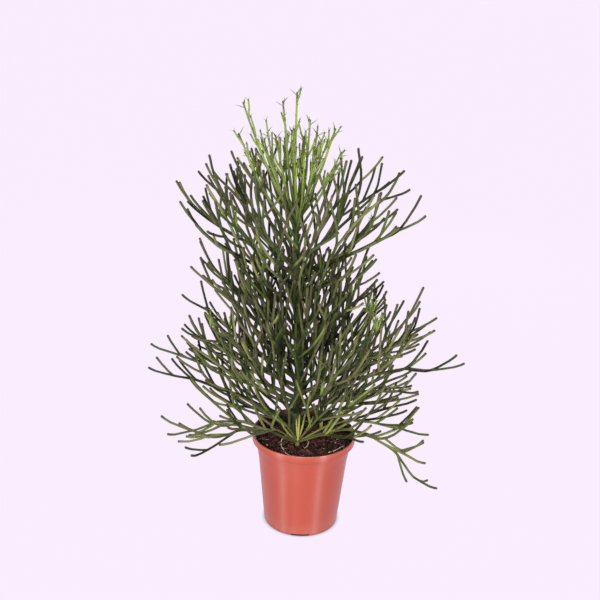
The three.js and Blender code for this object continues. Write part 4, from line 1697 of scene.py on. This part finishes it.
@dataclass
class Leaves:
    """The places where leaves stand, in metres, with the way each one points."""

    youth: float = 0.6
    roots: list[Point] = field(default_factory=list)
    toward: list[Point] = field(default_factory=list)
    outward: list[Point] = field(default_factory=list)
    scale: list[float] = field(default_factory=list)
    turned_out: ClassVar[float] = 1.2

    def add(self, root: Point, along: Point, angle: float, turn: float, scale: float) -> None:
        """Adds a leaf.

        Args:
            root: Where it stands.
            along: The direction of the shoot that carries it.
            angle: How far it leans off the shoot, in degrees.
            turn: How far round the shoot it stands, in degrees.
            scale: Its size as a share of a full leaf.
        """
        direction = fork_direction(along, angle, turn, 0)
        self.roots.append(root * MM)
        self.toward.append(direction)
        self.outward.append(direction - along * self.turned_out)
        self.scale.append(scale)

    def guide(self, name: str) -> Mesh:
        """A mesh with one point for each leaf."""
        mesh = bpy.data.meshes.new(name)
        mesh.from_pydata([tuple(root) for root in self.roots], [], [])
        for key, rows in (("toward", self.toward), ("outward", self.outward)):
            attribute = mesh.attributes.new(key, "FLOAT_VECTOR", "POINT")
            attribute.data.foreach_set("vector", np.array(rows).ravel())
        for key, values in (("scale", self.scale), ("youth", [self.youth] * len(self.scale))):
            mesh.attributes.new(key, "FLOAT", "POINT").data.foreach_set("value", values)
        return mesh


@dataclass(frozen=True)
class LeafSize:
    """The narrow leaves round a young shoot's tip and below it, in mm and degrees."""

    length: float = 15
    width: float = 2.4
    thickness: float = 0.7
    angle: float = 42
    count: int = 3
    spacing: float = 3
    room: float = 0.7
    room_below: float = 0.6
    low_count: int = 4
    low_from: float = 16
    low_spacing: float = 13
    low_jitter: float = 6
    low_angle: Range = (25, 50)
    low_scale: Range = (0.35, 0.6)
    low_turn: float = 137.5


@dataclass(frozen=True)
class Trunk:
    """The trunk with its boughs: x, y, height and radius of each of its points, in mm."""

    rows: tuple[tuple[float, float, float, float], ...] = (
        (-14, 9, 87, 7.2), (-14, 9, 165, 8.2), (-11, 8, 250, 7.6),
        (-15, 7, 335, 7.0), (-21, 6, 415, 6.2), (-24, 6, 470, 5.6),
    )
    habit: Habit = Habit(0.42, 2)
    stations: int = 10
    tiers_part_at: float = 345
    collar: float = 1.55
    # Painted shade inside the crown: how far from the pot's axis a stem's tone comes to full, the share
    # it keeps at the axis, and the share it gains out to there.
    core: float = 85
    painted_shade_core_tone: float = 0.35
    painted_shade_outer_tone: float = 0.65
    bough_tone: float = 0.7
    fresh: float = 0.10
    fresh_youth: Range = (0.08, 0.25)
    boughs: tuple[tuple[float, ...], ...] = (
        (160, 140, 128, 226, 6), (162, 312, 116, 252, -4), (164, 112, 112, 250, -4),
        (166, 55, 106, 256, -4), (170, 188, 234, 262, 10), (175, 20, 178, 226, 10),
        (180, 135, 160, 258, 6), (185, 345, 196, 270, 8), (190, 245, 130, 285, 0),
        (195, 80, 150, 280, 0), (200, 298, 144, 300, 0), (205, 350, 244, 304, 20),
        (207, 205, 170, 300, 0), (210, 50, 146, 320, -5), (215, 177, 226, 290, 4),
        (221, 8, 212, 350, -4), (227, 225, 125, 345, -8), (233, 110, 130, 345, -8),
        (239, 320, 130, 360, -8), (225, 354, 190, 394, -14), (251, 178, 176, 380, -8),
        (257, 268, 108, 372, -8), (238, 192, 184, 342, -4), (263, 35, 118, 380, -8),
        (269, 145, 124, 392, -8), (275, 210, 122, 398, -8), (281, 18, 118, 404, -8),
        (288, 300, 98, 408, -8), (295, 88, 106, 412, -8), (302, 190, 164, 434, -5),
        (310, 330, 112, 420, -8), (318, 166, 172, 446, -8), (327, 60, 96, 434, -8),
        (336, 240, 84, 440, -8), (348, 352, 112, 452, -8), (360, 118, 104, 454, -8),
        (372, 285, 86, 460, -8), (382, 200, 112, 470, -8), (390, 335, 98, 470, -8),
        (397, 130, 102, 480, -8), (403, 245, 104, 488, -8), (409, 12, 118, 500, -6),
        (414, 190, 172, 514, -8), (419, 65, 110, 510, -8), (423, 285, 106, 514, -8),
        (427, 168, 196, 540, -4), (431, 350, 184, 530, -6), (434, 105, 104, 536, -8),
        (437, 225, 96, 544, -8), (440, 32, 96, 560, -6), (442, 183, 134, 572, -6),
        (444, 312, 86, 570, -8), (446, 148, 96, 584, -8), (448, 5, 140, 584, -6),
    )

    @property
    def points(self) -> Point:
        """The trunk's points."""
        return np.array([row[:3] for row in self.rows], dtype=float)

    @property
    def radii(self) -> Point:
        """The radius at each of them."""
        return np.array([row[3] for row in self.rows])

    def at(self, height: float) -> Point:
        """The trunk's point at a height."""
        points = self.points
        above = int(np.argmax(points[:, 2] >= height))
        low, high = points[above - 1], points[above]
        return low + (high - low) * (height - low[2]) / (high[2] - low[2])


@dataclass(frozen=True)
class Upright:
    """A thin young stem that rises from a cutting's foot, in mm and degrees."""

    bearing: float
    reach: float
    rise: float
    radii: tuple[float, float, float] = (1.9, 1.7, 1.5)
    foot_depth: float = 3
    outward_bend: float = 0.12


@dataclass(frozen=True)
class Cutting:
    """A lesser cutting beside the trunk, with its boughs, in mm."""

    stem: Stem
    piece: str
    node: str
    foot: Range
    radius: float
    top: float
    key: int
    boughs: tuple[tuple[float, ...], ...]
    uprights: tuple[Upright, ...] = ()
    habit: Habit = Habit(0.12, 1)
    bottom: float = 87
    pale_below: float = 5
    pale_reach: float = 85
    dark_youth: float = 0.08
    pale_youth: float = 0.92
    pale_curve: int = 4
    slender: float = 0.22

    def at(self, height: float) -> Point:
        """The cutting's point at a height."""
        return np.array([*self.foot, height], dtype=float)


@dataclass(frozen=True)
class Tufts:
    """The tufts of fresh shoots on the boughs, in mm: near what place, and how many shoots."""

    lean: Range = (8, 26)
    upturn: float = 0.4
    length: Range = (12, 34)
    radii: tuple[float, float, float] = (1.6, 1.45, 1.2)
    youth: Range = (0.6, 1)
    ripening: float = 0.008
    leaf_count: int = 6
    leaf_spacing: float = 0.28
    leaf_angle: Range = (20, 50)
    leaf_scale: Range = (0.4, 0.75)
    stations: tuple[float, ...] = (0, 0.25, 0.5, 0.75)
    places: tuple[tuple[tuple[float, float, float], int], ...] = (
        ((84, -40, 376), 6), ((108, -40, 368), 6), ((-6, -50, 236), 3), ((2, -70, 262), 2),
        ((-150, -10, 352), 3), ((-128, 20, 330), 2), ((120, 30, 300), 2), ((60, 60, 380), 3),
        ((-60, 80, 400), 3), ((10, 110, 330), 3), ((-110, -40, 500), 2), ((100, 10, 500), 2),
    )

    def shoot(self, root: Point, tuft: int, n: int, count: int, leaves: Leaves) -> Strand:
        """One fresh shoot, with its leaves.

        Args:
            root: Where the tuft stands.
            tuft: The tuft's number.
            n: The shoot's number in the tuft.
            count: How many shoots the tuft has.
            leaves: Where its leaves are added.

        Returns:
            Its strand.
        """
        turn = 360 * (n + between(0.1, 0.9, tuft, n, Trait.TUFT_TURN)) / count
        out = fork_direction(UP, between(*self.lean, tuft, n, Trait.TUFT_LEAN), turn, 0.0)
        length = between(*self.length, tuft, n, Trait.TUFT_LENGTH)
        bend = root + 0.5 * length * out
        tip = bend + 0.5 * length * unit(out + self.upturn * UP)
        angle = between(*self.leaf_angle, tuft, n, Trait.TUFT_LEAF_ANGLE)
        scale = between(*self.leaf_scale, tuft, n, Trait.TUFT_LEAF_SCALE)
        for leaf in range(self.leaf_count):
            pair = leaf // 2
            place = tip - pair * self.leaf_spacing * length * out
            leaves.add(place, unit(tip - bend), angle, 90 * (n + pair) + 180 * leaf, scale)
        rule = StrandRule.even(self.stations, 0.1)
        youth = between(*self.youth, tuft, n, Trait.TUFT_YOUTH)
        nodes = np.array([root, bend, tip])
        strand = rule.strand(nodes, np.array(self.radii), Seed.TUFTS + 9 * tuft + n, youth)
        strand.ripening = self.ripening
        return strand


@dataclass(frozen=True)
class SideShoots:
    """The short shoots along a young shoot's upper part, in mm."""

    count: int = 4
    beyond: float = 0.4
    length: Range = (12, 34)
    lean: Range = (16, 30)
    lift: float = 0.1
    bend_at: float = 0.45
    upturn: float = 0.5
    radii: tuple[float, float, float] = (1.5, 1.4, 1.2)
    youth: Range = (0.5, 1)
    ripening: float = 0.004
    leaf_angle: Range = (20, 40)
    leaf_scale: Range = (0.25, 0.5)

    def line(self, shoot: Point, i: int, n: int) -> Point:
        """The three nodes of one side shoot.

        Args:
            shoot: The nodes of the shoot that carries it.
            i: The number of the shoot that carries it.
            n: Its own number.

        Returns:
            Its nodes.
        """
        leg = shoot[2] - shoot[1]
        share = n + between(0.1, 0.9, i, n, Trait.SIDE_PLACE)
        root = shoot[1] + leg * share / (self.count + self.beyond)
        turn = between(0, 360, i, n, Trait.SIDE_TURN)
        length = between(*self.length, i, n, Trait.SIDE_LENGTH)
        out = fork_direction(unit(leg), between(*self.lean, i, n, Trait.SIDE_LEAN), turn, self.lift)
        bend = root + self.bend_at * length * out
        tip = bend + (1 - self.bend_at) * length * unit(out + self.upturn * unit(leg))
        return np.array([root, bend, tip])

    def add_leaves(self, line: Point, i: int, n: int, leaves: Leaves) -> None:
        """Adds the pair of leaves at a side shoot's tip."""
        along = unit(line[2] - line[1])
        angle = between(*self.leaf_angle, i, n, Trait.SIDE_LEAF_ANGLE)
        scale = between(*self.leaf_scale, i, n, Trait.SIDE_LEAF_SCALE)
        for turn in (0, 180):
            leaves.add(line[2], along, angle, 90 * n + turn, scale)


@dataclass(frozen=True)
class YoungGrowth:
    """The yellow-green growth on the trunk's top, in mm."""

    seat_gap: float = 0.3
    stub_radius: float = 4.6
    stub_taper: float = 1
    stub_height: float = 44
    spread: float = 30
    waver: float = 3
    radius: float = 1.7
    radii: tuple[float, float, float] = (2.05, 1.8, 1.2)
    tall_radii: tuple[float, float, float] = (0.45, 0.36, 0.0)
    tall_from: float = 645
    bend_at: float = 0.62
    bend_height: float = 0.45
    youth: Range = (0.55, 1)
    ripening: float = 0.10
    stations: tuple[float, ...] = (0, 0.15, 0.35, 0.55, 0.75)
    sides: SideShoots = SideShoots()
    shoots: tuple[tuple[float, float, float], ...] = (
        (6, 190, 706), (84, 181, 688), (26, 178, 692), (52, 354, 656), (16, 330, 668),
        (90, 192, 646), (30, 250, 640), (58, 215, 630), (34, 40, 644), (46, 120, 632),
        (22, 290, 626), (64, 12, 618), (66, 150, 628), (40, 310, 618), (76, 168, 612),
        (30, 80, 632), (48, 236, 612), (44, 20, 636), (48, 183, 648), (36, 205, 636),
        (20, 130, 648), (34, 340, 640), (54, 60, 612), (38, 162, 640), (14, 60, 640),
        (60, 334, 606),
    )

    def stub(self, trunk_top: Point) -> Point:
        """The top of the stub that the shoots rise from."""
        return trunk_top + np.array([0, 0, self.seat_gap + self.stub_height])

    def line(self, stub: Point, shoot: Sequence[float], key: int) -> Point:
        """The nodes of a shoot.

        Args:
            stub: The top of the stub, which it leaves at or below.
            shoot: Its reach, bearing and height of the tip.
            key: The seed of its waver.

        Returns:
            Its three nodes.
        """
        reach, bearing, tip_height = shoot
        root = stub - between(0, self.spread, key, Trait.SHOOT_FOOT) * UP
        tip = root + reach * heading(bearing)
        tip[2] = tip_height
        bend = root + self.bend_at * reach * heading(bearing)
        bend[2] = root[2] + self.bend_height * (tip_height - root[2])
        middle = 0.25 * root + 0.5 * bend + 0.25 * tip
        middle[0] += between(-self.waver, self.waver, key, Trait.SHOOT_WAVER)
        return np.array([root, middle, tip])

    def radii_of(self, line: Point) -> Point:
        """The radius at each node of a shoot, which is stouter where it is tall."""
        radii = np.array(self.radii)
        return radii + np.array(self.tall_radii) if line[2][2] > self.tall_from else radii


FRONT_CUTTING = Cutting(
    stem=Stem.FRONT,
    piece="front_cutting_stems",
    node="front_cutting",
    foot=(-10, -30),
    radius=4.2,
    top=160,
    key=201,
    boughs=(
        (156, 182, 206, 176, 22), (157, 192, 184, 164, 30), (157, 354, 226, 104, 50),
        (158, 4, 196, 190, 22), (159, 208, 120, 214, 12), (159, 160, 146, 212, 14),
        (159, 26, 136, 222, 10), (160, 222, 66, 246, 0), (160, 318, 62, 242, 0),
        (158, 340, 132, 206, 10),
    ),
    uprights=(
        Upright(40, 14, 46), Upright(10, 24, 44), Upright(120, 6, 40), Upright(275, 20, 58),
        Upright(190, 30, 42),
    ),
)
REAR_CUTTING = Cutting(
    stem=Stem.REAR,
    piece="rear_cutting_stems",
    node="rear_cutting",
    foot=(28, 34),
    radius=3.8,
    top=168,
    key=301,
    boughs=(
        (160, 75, 150, 186, 26), (162, 352, 124, 226, 12), (164, 130, 122, 232, 12),
        (165, 60, 80, 286, 0), (166, 104, 80, 280, 0), (167, 20, 60, 290, 0),
        (163, 40, 130, 236, 8),
    ),
)


class Plant:
    """The whole plant: it grows its skeleton once and then dresses each of its pieces."""

    def __init__(self, tools: Tools, finishes: Finishes) -> None:
        """Grows the skeleton.

        Args:
            tools: The growing tools.
            finishes: The finishes.
        """
        self.tools, self.finishes = tools, finishes
        self.trunk, self.growth, self.leaf = Trunk(), YoungGrowth(), LeafSize()
        self.thicket = Thicket()
        self.stub = self.growth.stub(self.trunk.points[-1])
        self.shoots = [
            self.growth.line(self.stub, shoot, i) for i, shoot in enumerate(self.growth.shoots)
        ]
        self.plant_stems()
        self.boughs: dict[Stem, list[Line]] = {}
        self.grow()
        LOG.info("skeleton: %d straight pieces", len(self.thicket.rows))

    def plant_stems(self) -> None:
        """Puts the young growth and the trunk into the thicket."""
        stout = self.thicket.twig.stout
        top = self.trunk.points[-1]
        self.thicket.add(Stem.SHOOTS, top, self.stub, self.growth.stub_radius / stout)
        for line in self.shoots:
            for start, end in zip(line, line[1:]):
                self.thicket.add(Stem.SHOOTS, start, end, self.growth.radius / stout)
        for line in self.shoots:
            along = unit(line[2] - line[1]) * self.leaf.length
            room = self.leaf.room * self.leaf.length / stout
            self.thicket.add(Stem.SHOOTS, line[2] - self.leaf.room_below * along, line[2] + along, room)
        points, radii = self.trunk.points, self.trunk.radii
        for start, end, radius in zip(points, points[1:], radii):
            self.thicket.add(Stem.MAIN, start, end, radius / stout)

    def grow(self) -> None:
        """Grows the cuttings' main lines, then the trunk's, and then the sprays of each."""
        thicket, trunk = self.thicket, self.trunk
        growers = {Stem.MAIN: Grower(thicket, Stem.MAIN, trunk.habit)}
        for cutting in (FRONT_CUTTING, REAR_CUTTING):
            foot, top = cutting.at(cutting.bottom), cutting.at(cutting.top)
            thicket.add(cutting.stem, foot, top, cutting.radius / thicket.twig.stout)
            grower = growers[cutting.stem] = Grower(thicket, cutting.stem, cutting.habit)
            self.boughs[cutting.stem] = grower.grow_boughs(cutting.boughs, cutting.at, cutting.key)
        self.boughs[Stem.MAIN] = growers[Stem.MAIN].grow_boughs(trunk.boughs, trunk.at, Seed.TRUNK)
        for stem, boughs in self.boughs.items():
            growers[stem].grow_sprays(boughs)

    def bases(self, stem: Stem) -> list[Node]:
        """The node at the base of each of a stem's boughs."""
        return [base for base, _ in self.boughs[stem]]

    def strands_of(self, bases: Sequence[Node], rule: StrandRule, key: int) -> list[Strand]:
        """The strands of some boughs.

        Args:
            bases: The node at the base of each.
            rule: How their own lines are rounded.
            key: The seed of their tones.

        Returns:
            One strand for each run.
        """
        plain, trunk = StrandRule(), self.trunk
        strands = []
        for base in bases:
            for nodes, radii, own in runs_of(base):
                chosen = rule if own else plain
                strand = chosen.strand(nodes, radii, key + len(strands))
                # Stems nearer the pot's axis get a darker tone, as painted shade inside the crown.
                outward = math.hypot(*nodes.mean(axis=0)[:2]) / trunk.core
                lit = min(1.0, trunk.painted_shade_core_tone + trunk.painted_shade_outer_tone * outward)
                strand.tone *= lit * (trunk.bough_tone if own else 1.0)
                if len(nodes) == 2 and draw(key, len(strands), Trait.IS_FRESH) < trunk.fresh:
                    strand.youth = between(*trunk.fresh_youth, key, len(strands), Trait.FRESH_YOUTH)
                strands.append(strand)
        return strands

    def dress_trunk(self) -> None:
        """Builds the trunk and, as pieces of their own, its lower and upper boughs."""
        trunk = self.trunk
        rule = StrandRule.even(np.arange(0, 1, 1 / trunk.stations))
        strand = rule.strand(trunk.points, trunk.radii, Seed.TRUNK)
        piece = self.tools.sweep("trunk", [strand], BARK_SKIN, self.finishes.bark)
        enrol(piece, ["main_stem"])
        bases = self.bases(Stem.MAIN)
        lower = [base for base in bases if base.at[2] < trunk.tiers_part_at]
        upper = [base for base in bases if base.at[2] >= trunk.tiers_part_at]
        for name, chosen, key in (
            ("lower_boughs", lower, Seed.LOWER_BOUGHS),
            ("upper_boughs", upper, Seed.UPPER_BOUGHS),
        ):
            strands = self.strands_of(chosen, StrandRule(flare=trunk.collar), key)
            piece = self.tools.sweep(name, strands, TWIG_SKIN, self.finishes.green)
            enrol(piece, ["main_stem"])

    def dress_cutting(self, cutting: Cutting) -> None:
        """Builds a lesser cutting, whose oldest parts are pale."""
        ends = np.array([cutting.at(cutting.bottom), cutting.at(cutting.top)])
        stem = StrandRule(sag=0, rise=0).strand(ends, np.full(2, cutting.radius), cutting.key)
        boughs = self.strands_of(self.bases(cutting.stem), StrandRule(), Seed.CUTTINGS + cutting.key)
        strands = [stem, *boughs, *(self.upright(cutting, stem) for stem in cutting.uprights)]
        for strand in strands:
            self.pale_foot(strand, cutting)
        piece = self.tools.sweep(cutting.piece, strands, TWIG_SKIN, self.finishes.cutting)
        enrol(piece, [cutting.node])

    @staticmethod
    def upright(cutting: Cutting, stem: Upright) -> Strand:
        """The strand of a thin young stem that rises from a cutting's foot."""
        out, root = heading(stem.bearing), cutting.at(cutting.top - stem.foot_depth)
        tip = root + stem.reach * out + stem.rise * UP
        bend = root + 0.5 * (tip - root) + stem.outward_bend * stem.reach * out
        rule = StrandRule(sag=0, rise=0.1)
        nodes, seed = np.array([root, bend, tip]), round(stem.reach * stem.rise)
        strand = rule.strand(nodes, np.array(stem.radii), seed)
        strand.tone = 1.0
        return strand

    @staticmethod
    def pale_foot(strand: Strand, cutting: Cutting) -> None:
        """Thins and pales a cutting's stem towards its foot."""
        foot = cutting.at(cutting.top - cutting.pale_below) * MM
        away = np.linalg.norm(strand.points - foot, axis=1) / (cutting.pale_reach * MM)
        near = np.clip(1 - away, 0, 1)
        strand.girth *= 1 - cutting.slender * near
        youth = cutting.dark_youth + cutting.pale_youth * strand.tone**cutting.pale_curve
        strand.youth = near * youth

    def dress_tufts(self) -> None:
        """Builds the tufts of fresh shoots that stand here and there on the boughs."""
        tufts, leaves = Tufts(), Leaves(youth=1.0)
        ends = self.thicket.ends[self.thicket.is_of(Stem.MAIN)]
        strands = []
        for i, (place, count) in enumerate(tufts.places):
            root = ends[np.argmin(np.linalg.norm(ends - np.array(place), axis=1))]
            strands += [tufts.shoot(root, i, n, count, leaves) for n in range(count)]
        piece = self.tools.sweep("fresh_tufts", strands, YOUNG_SKIN, self.finishes.young)
        enrol(piece)
        self.dress_leaves("tuft_leaves", leaves, [])

    def dress_leaves(self, name: str, leaves: Leaves, nodes: Sequence[str]) -> None:
        """Builds the leaves of some shoots.

        Args:
            name: The piece's name.
            leaves: Where they stand.
            nodes: The solids that they stand for.
        """
        blades = self.tools.leaf.make(
            name,
            leaves.guide(name),
            length=self.leaf.length * MM,
            width=self.leaf.width * MM,
            thickness=self.leaf.thickness * MM,
            material=self.finishes.young,
        )
        enrol(blades, nodes)

    def add_leaves(self, line: Point, i: int, leaves: Leaves) -> None:
        """Adds a shoot's leaves: a whorl at its tip and a few small ones below.

        Args:
            line: The shoot's nodes.
            i: The shoot's number.
            leaves: Where its leaves are added.
        """
        leaf, along = self.leaf, unit(line[2] - line[1])
        turn = between(0, 90, i, Trait.LEAF_TURN)
        for n in range(leaf.count):
            root = line[2] - leaf.spacing * (n + 0.5) * along
            leaves.add(root, along, leaf.angle, turn + 360 * n / leaf.count, 1.0)
        for n in range(leaf.low_count):
            jitter = between(0, leaf.low_jitter, i, n, Trait.LOW_LEAF_PLACE)
            root = line[2] - (leaf.low_from + leaf.low_spacing * n + jitter) * along
            angle = between(*leaf.low_angle, i, n, Trait.LOW_LEAF_ANGLE)
            scale = between(*leaf.low_scale, i, n, Trait.LOW_LEAF_SCALE)
            leaves.add(root, along, angle, turn + leaf.low_turn * n, scale)

    def dress_shoots(self) -> None:
        """Builds the young growth and its leaves."""
        growth, sides = self.growth, self.growth.sides
        base = self.trunk.points[-1] + growth.seat_gap * UP
        girths = np.array([growth.stub_radius, growth.stub_radius - growth.stub_taper])
        stub = StrandRule(sag=0, rise=0).strand(np.array([base, self.stub]), girths, Seed.STUB)
        rule = StrandRule.even(growth.stations, 0.05)
        strands, leaves = [stub], Leaves()
        for i, line in enumerate(self.shoots):
            youth = between(*growth.youth, i, Trait.SHOOT_YOUTH)
            strands.append(rule.strand(line, growth.radii_of(line), Seed.SHOOTS + i, youth))
            strands[-1].ripening = growth.ripening
            self.add_leaves(line, i, leaves)
            for n in range(sides.count):
                side = sides.line(line, i, n)
                youth = between(*sides.youth, i, n, Trait.SIDE_YOUTH)
                strands.append(rule.strand(side, np.array(sides.radii), Seed.SIDES + 9 * i + n, youth))
                strands[-1].ripening = sides.ripening
                sides.add_leaves(side, i, n, leaves)
        piece = self.tools.sweep("young_stems", strands, YOUNG_SKIN, self.finishes.young)
        enrol(piece, ["young_shoots"])
        self.dress_leaves("young_leaves", leaves, ["young_shoots"])


@dataclass(frozen=True)
class SurfaceRoots:
    """Thin pale roots that curl over the peat: x and y of each one's points, in mm."""

    radius: float = 0.8
    taper: float = 0.6
    lift: float = 4.0
    stations: tuple[float, ...] = (0, 0.25, 0.5, 0.75)
    routes: tuple[tuple[Range, ...], ...] = (
        ((-27, 4), (-35, -14), (-36, -34), (-32, -52), (-23, -66), (-7, -72)),
        ((5, -12), (8, -24), (6, -34), (2, -42)),
        ((36, 4), (42, 9), (48, 4), (46, -6)),
        ((40, -52), (50, -47), (58, -40), (65, -31)),
    )

    def build(self, tools: Tools, finishes: Finishes, peat: PeatPlug) -> None:
        """Builds each root in the place of its solid."""
        rule = StrandRule.even(self.stations)
        for i, route in enumerate(self.routes):
            nodes = np.array([[x, y, peat.height_at(x, y) + self.lift] for x, y in route])
            radii = np.linspace(self.radius, self.taper * self.radius, len(route))
            strand = rule.strand(nodes, radii, Seed.ROOTS + i)
            piece = tools.sweep(f"curling_root_{i + 1}", [strand], ROOT_SKIN, finishes.root)
            enrol(piece, [f"surface_root_{i + 1}"])


# ---------------- studio


@dataclass(frozen=True)
class Lamp:
    """A soft oblong lamp, in metres, watts and linear colour."""

    name: str
    place: tuple[float, float, float]
    width: float
    height: float
    power: float
    colour: Colour = (1.0, 0.975, 0.99)

    def hang(self, aim: Vector) -> None:
        """Hangs the lamp so that it faces a point."""
        data = bpy.data.lights.new(self.name, "AREA")
        data.shape, data.size, data.size_y = "RECTANGLE", self.width, self.height
        data.energy, data.color = self.power, self.colour
        lamp = bpy.data.objects.new(self.name, data)
        bpy.context.scene.collection.objects.link(lamp)
        lamp.location = self.place
        lamp.rotation_euler = (aim - Vector(self.place)).to_track_quat("-Z", "Y").to_euler()


@dataclass(frozen=True)
class Studio:
    """The pale floor, the soft light and the camera."""

    floor_colour: Colour = (0.004, 0.004, 0.004)
    floor_glow: Colour = (0.945, 0.845, 0.99)
    # Painted shade under the pot, where the floor's glow dims.
    floor_shade: Colour = (0.05, 0.035, 0.04)
    shade_radius: Range = (0.0605, 0.067)
    shade_curve: float = 0.28
    world_colour: Colour = (0.96, 0.92, 1.0)
    world_strength: float = 0.06
    wall_radius: float = 22.0
    wall_height: float = 7.5
    wall_segments: int = 64
    lens: float = 56.2
    place: tuple[float, float, float] = (-0.01455, -1.36746, 0.89134)
    pitch: float = 20.17
    roll: float = 2.19
    aim: tuple[float, float, float] = (0.0, 0.0, 0.35)
    lamps: tuple[Lamp, ...] = (
        Lamp("left softbox", (-1.20, -1.10, 0.36), 0.18, 0.66, 23.5),
        Lamp("right softbox", (1.06, -1.20, 0.36), 0.18, 0.66, 25.0),
        Lamp("front softbox", (-0.5, -1.9, 1.2), 0.5, 0.5, 28.0),
        Lamp("overhead", (0.2, -0.3, 2.2), 0.7, 0.7, 24.0),
        Lamp("rear softbox", (0.5, 1.9, 0.8), 0.6, 0.6, 26.0),
    )

    def backdrop(self) -> Mesh:
        """The round floor with the wall far round it, in one piece."""
        shape = bmesh.new()
        bmesh.ops.create_circle(
            shape, cap_ends=True, segments=self.wall_segments, radius=self.wall_radius
        )
        rim = [edge for edge in shape.edges if edge.is_boundary]
        wall = bmesh.ops.extrude_edge_only(shape, edges=rim)["geom"]
        lifted = [part for part in wall if isinstance(part, bmesh.types.BMVert)]
        bmesh.ops.translate(shape, vec=(0, 0, self.wall_height), verts=lifted)
        return mesh_of(shape, "floor")

    def lay_floor(self) -> None:
        """Lays the pale floor, which glows evenly, with painted shade right under the pot."""
        floor = new_object("floor", self.backdrop())
        shader = Shader("pale floor")
        # The glow dims right under the pot and round its foot: painted shade.
        clear = shader.spread(shader.reach(), *self.shade_radius)
        lightness = shader.graph.math("POWER", clear, self.shade_curve)
        glow = shader.mix(lightness, self.floor_shade, self.floor_glow)
        base = (*self.floor_colour, 1.0)
        shader.set(Base_Color=base, Roughness=0.9, Specular_IOR_Level=0.0)
        shader.set(Emission_Color=glow, Emission_Strength=1.0)
        floor.data.materials.append(shader.material)
        floor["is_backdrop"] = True

    def light(self) -> None:
        """Fills the room with soft light and hangs the lamps."""
        world = bpy.data.worlds.new("soft room")
        world.use_nodes = True
        sky = world.node_tree.nodes["Background"]
        sky.inputs["Color"].default_value = (*self.world_colour, 1.0)
        sky.inputs["Strength"].default_value = self.world_strength
        bpy.context.scene.world = world
        bpy.context.scene.view_settings.view_transform = "Standard"
        for lamp in self.lamps:
            lamp.hang(Vector(self.aim))

    def stand_camera(self) -> None:
        """Stands the camera in front of the object, tilted down and rolled a little."""
        data = bpy.data.cameras.new("camera")
        data.lens, data.sensor_width = self.lens, 36.0
        camera = bpy.data.objects.new("camera", data)
        bpy.context.scene.collection.objects.link(camera)
        camera.location = self.place
        camera.rotation_mode = "XYZ"
        pitch = math.radians(self.pitch)
        view = Vector((0, math.cos(pitch), -math.sin(pitch)))
        camera.rotation_euler = view.to_track_quat("-Z", "Y").to_euler()
        camera.rotation_euler.rotate_axis("Z", math.radians(self.roll))
        bpy.context.scene.camera = camera


def main() -> None:
    """Builds the object piece by piece and measures its size."""
    logging.basicConfig(level=logging.INFO, format="%(name)s %(message)s")
    studio = Studio()
    studio.lay_floor()
    studio.light()
    studio.stand_camera()
    finishes = Finishes()
    tools = Tools(tube=tube_tool(), leaf=Blade().tool(), crumb=Crumb().tool())
    NurseryPot().build(finishes)
    peat = PeatPlug()
    peat.build(finishes)
    peat.strew(tools.crumb, finishes)
    peat.lay_fibres(tools, finishes)
    SurfaceRoots().build(tools, finishes, peat)
    plant = Plant(tools, finishes)
    plant.dress_trunk()
    for cutting in (FRONT_CUTTING, REAR_CUTTING):
        plant.dress_cutting(cutting)
    plant.dress_tufts()
    plant.dress_shoots()
    boxes = {"cad": CAD_BOX, "visual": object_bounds()}
    sizes = {name: [list(corner) for corner in box] for name, box in boxes.items()}


if __name__ == "__main__":
    main()
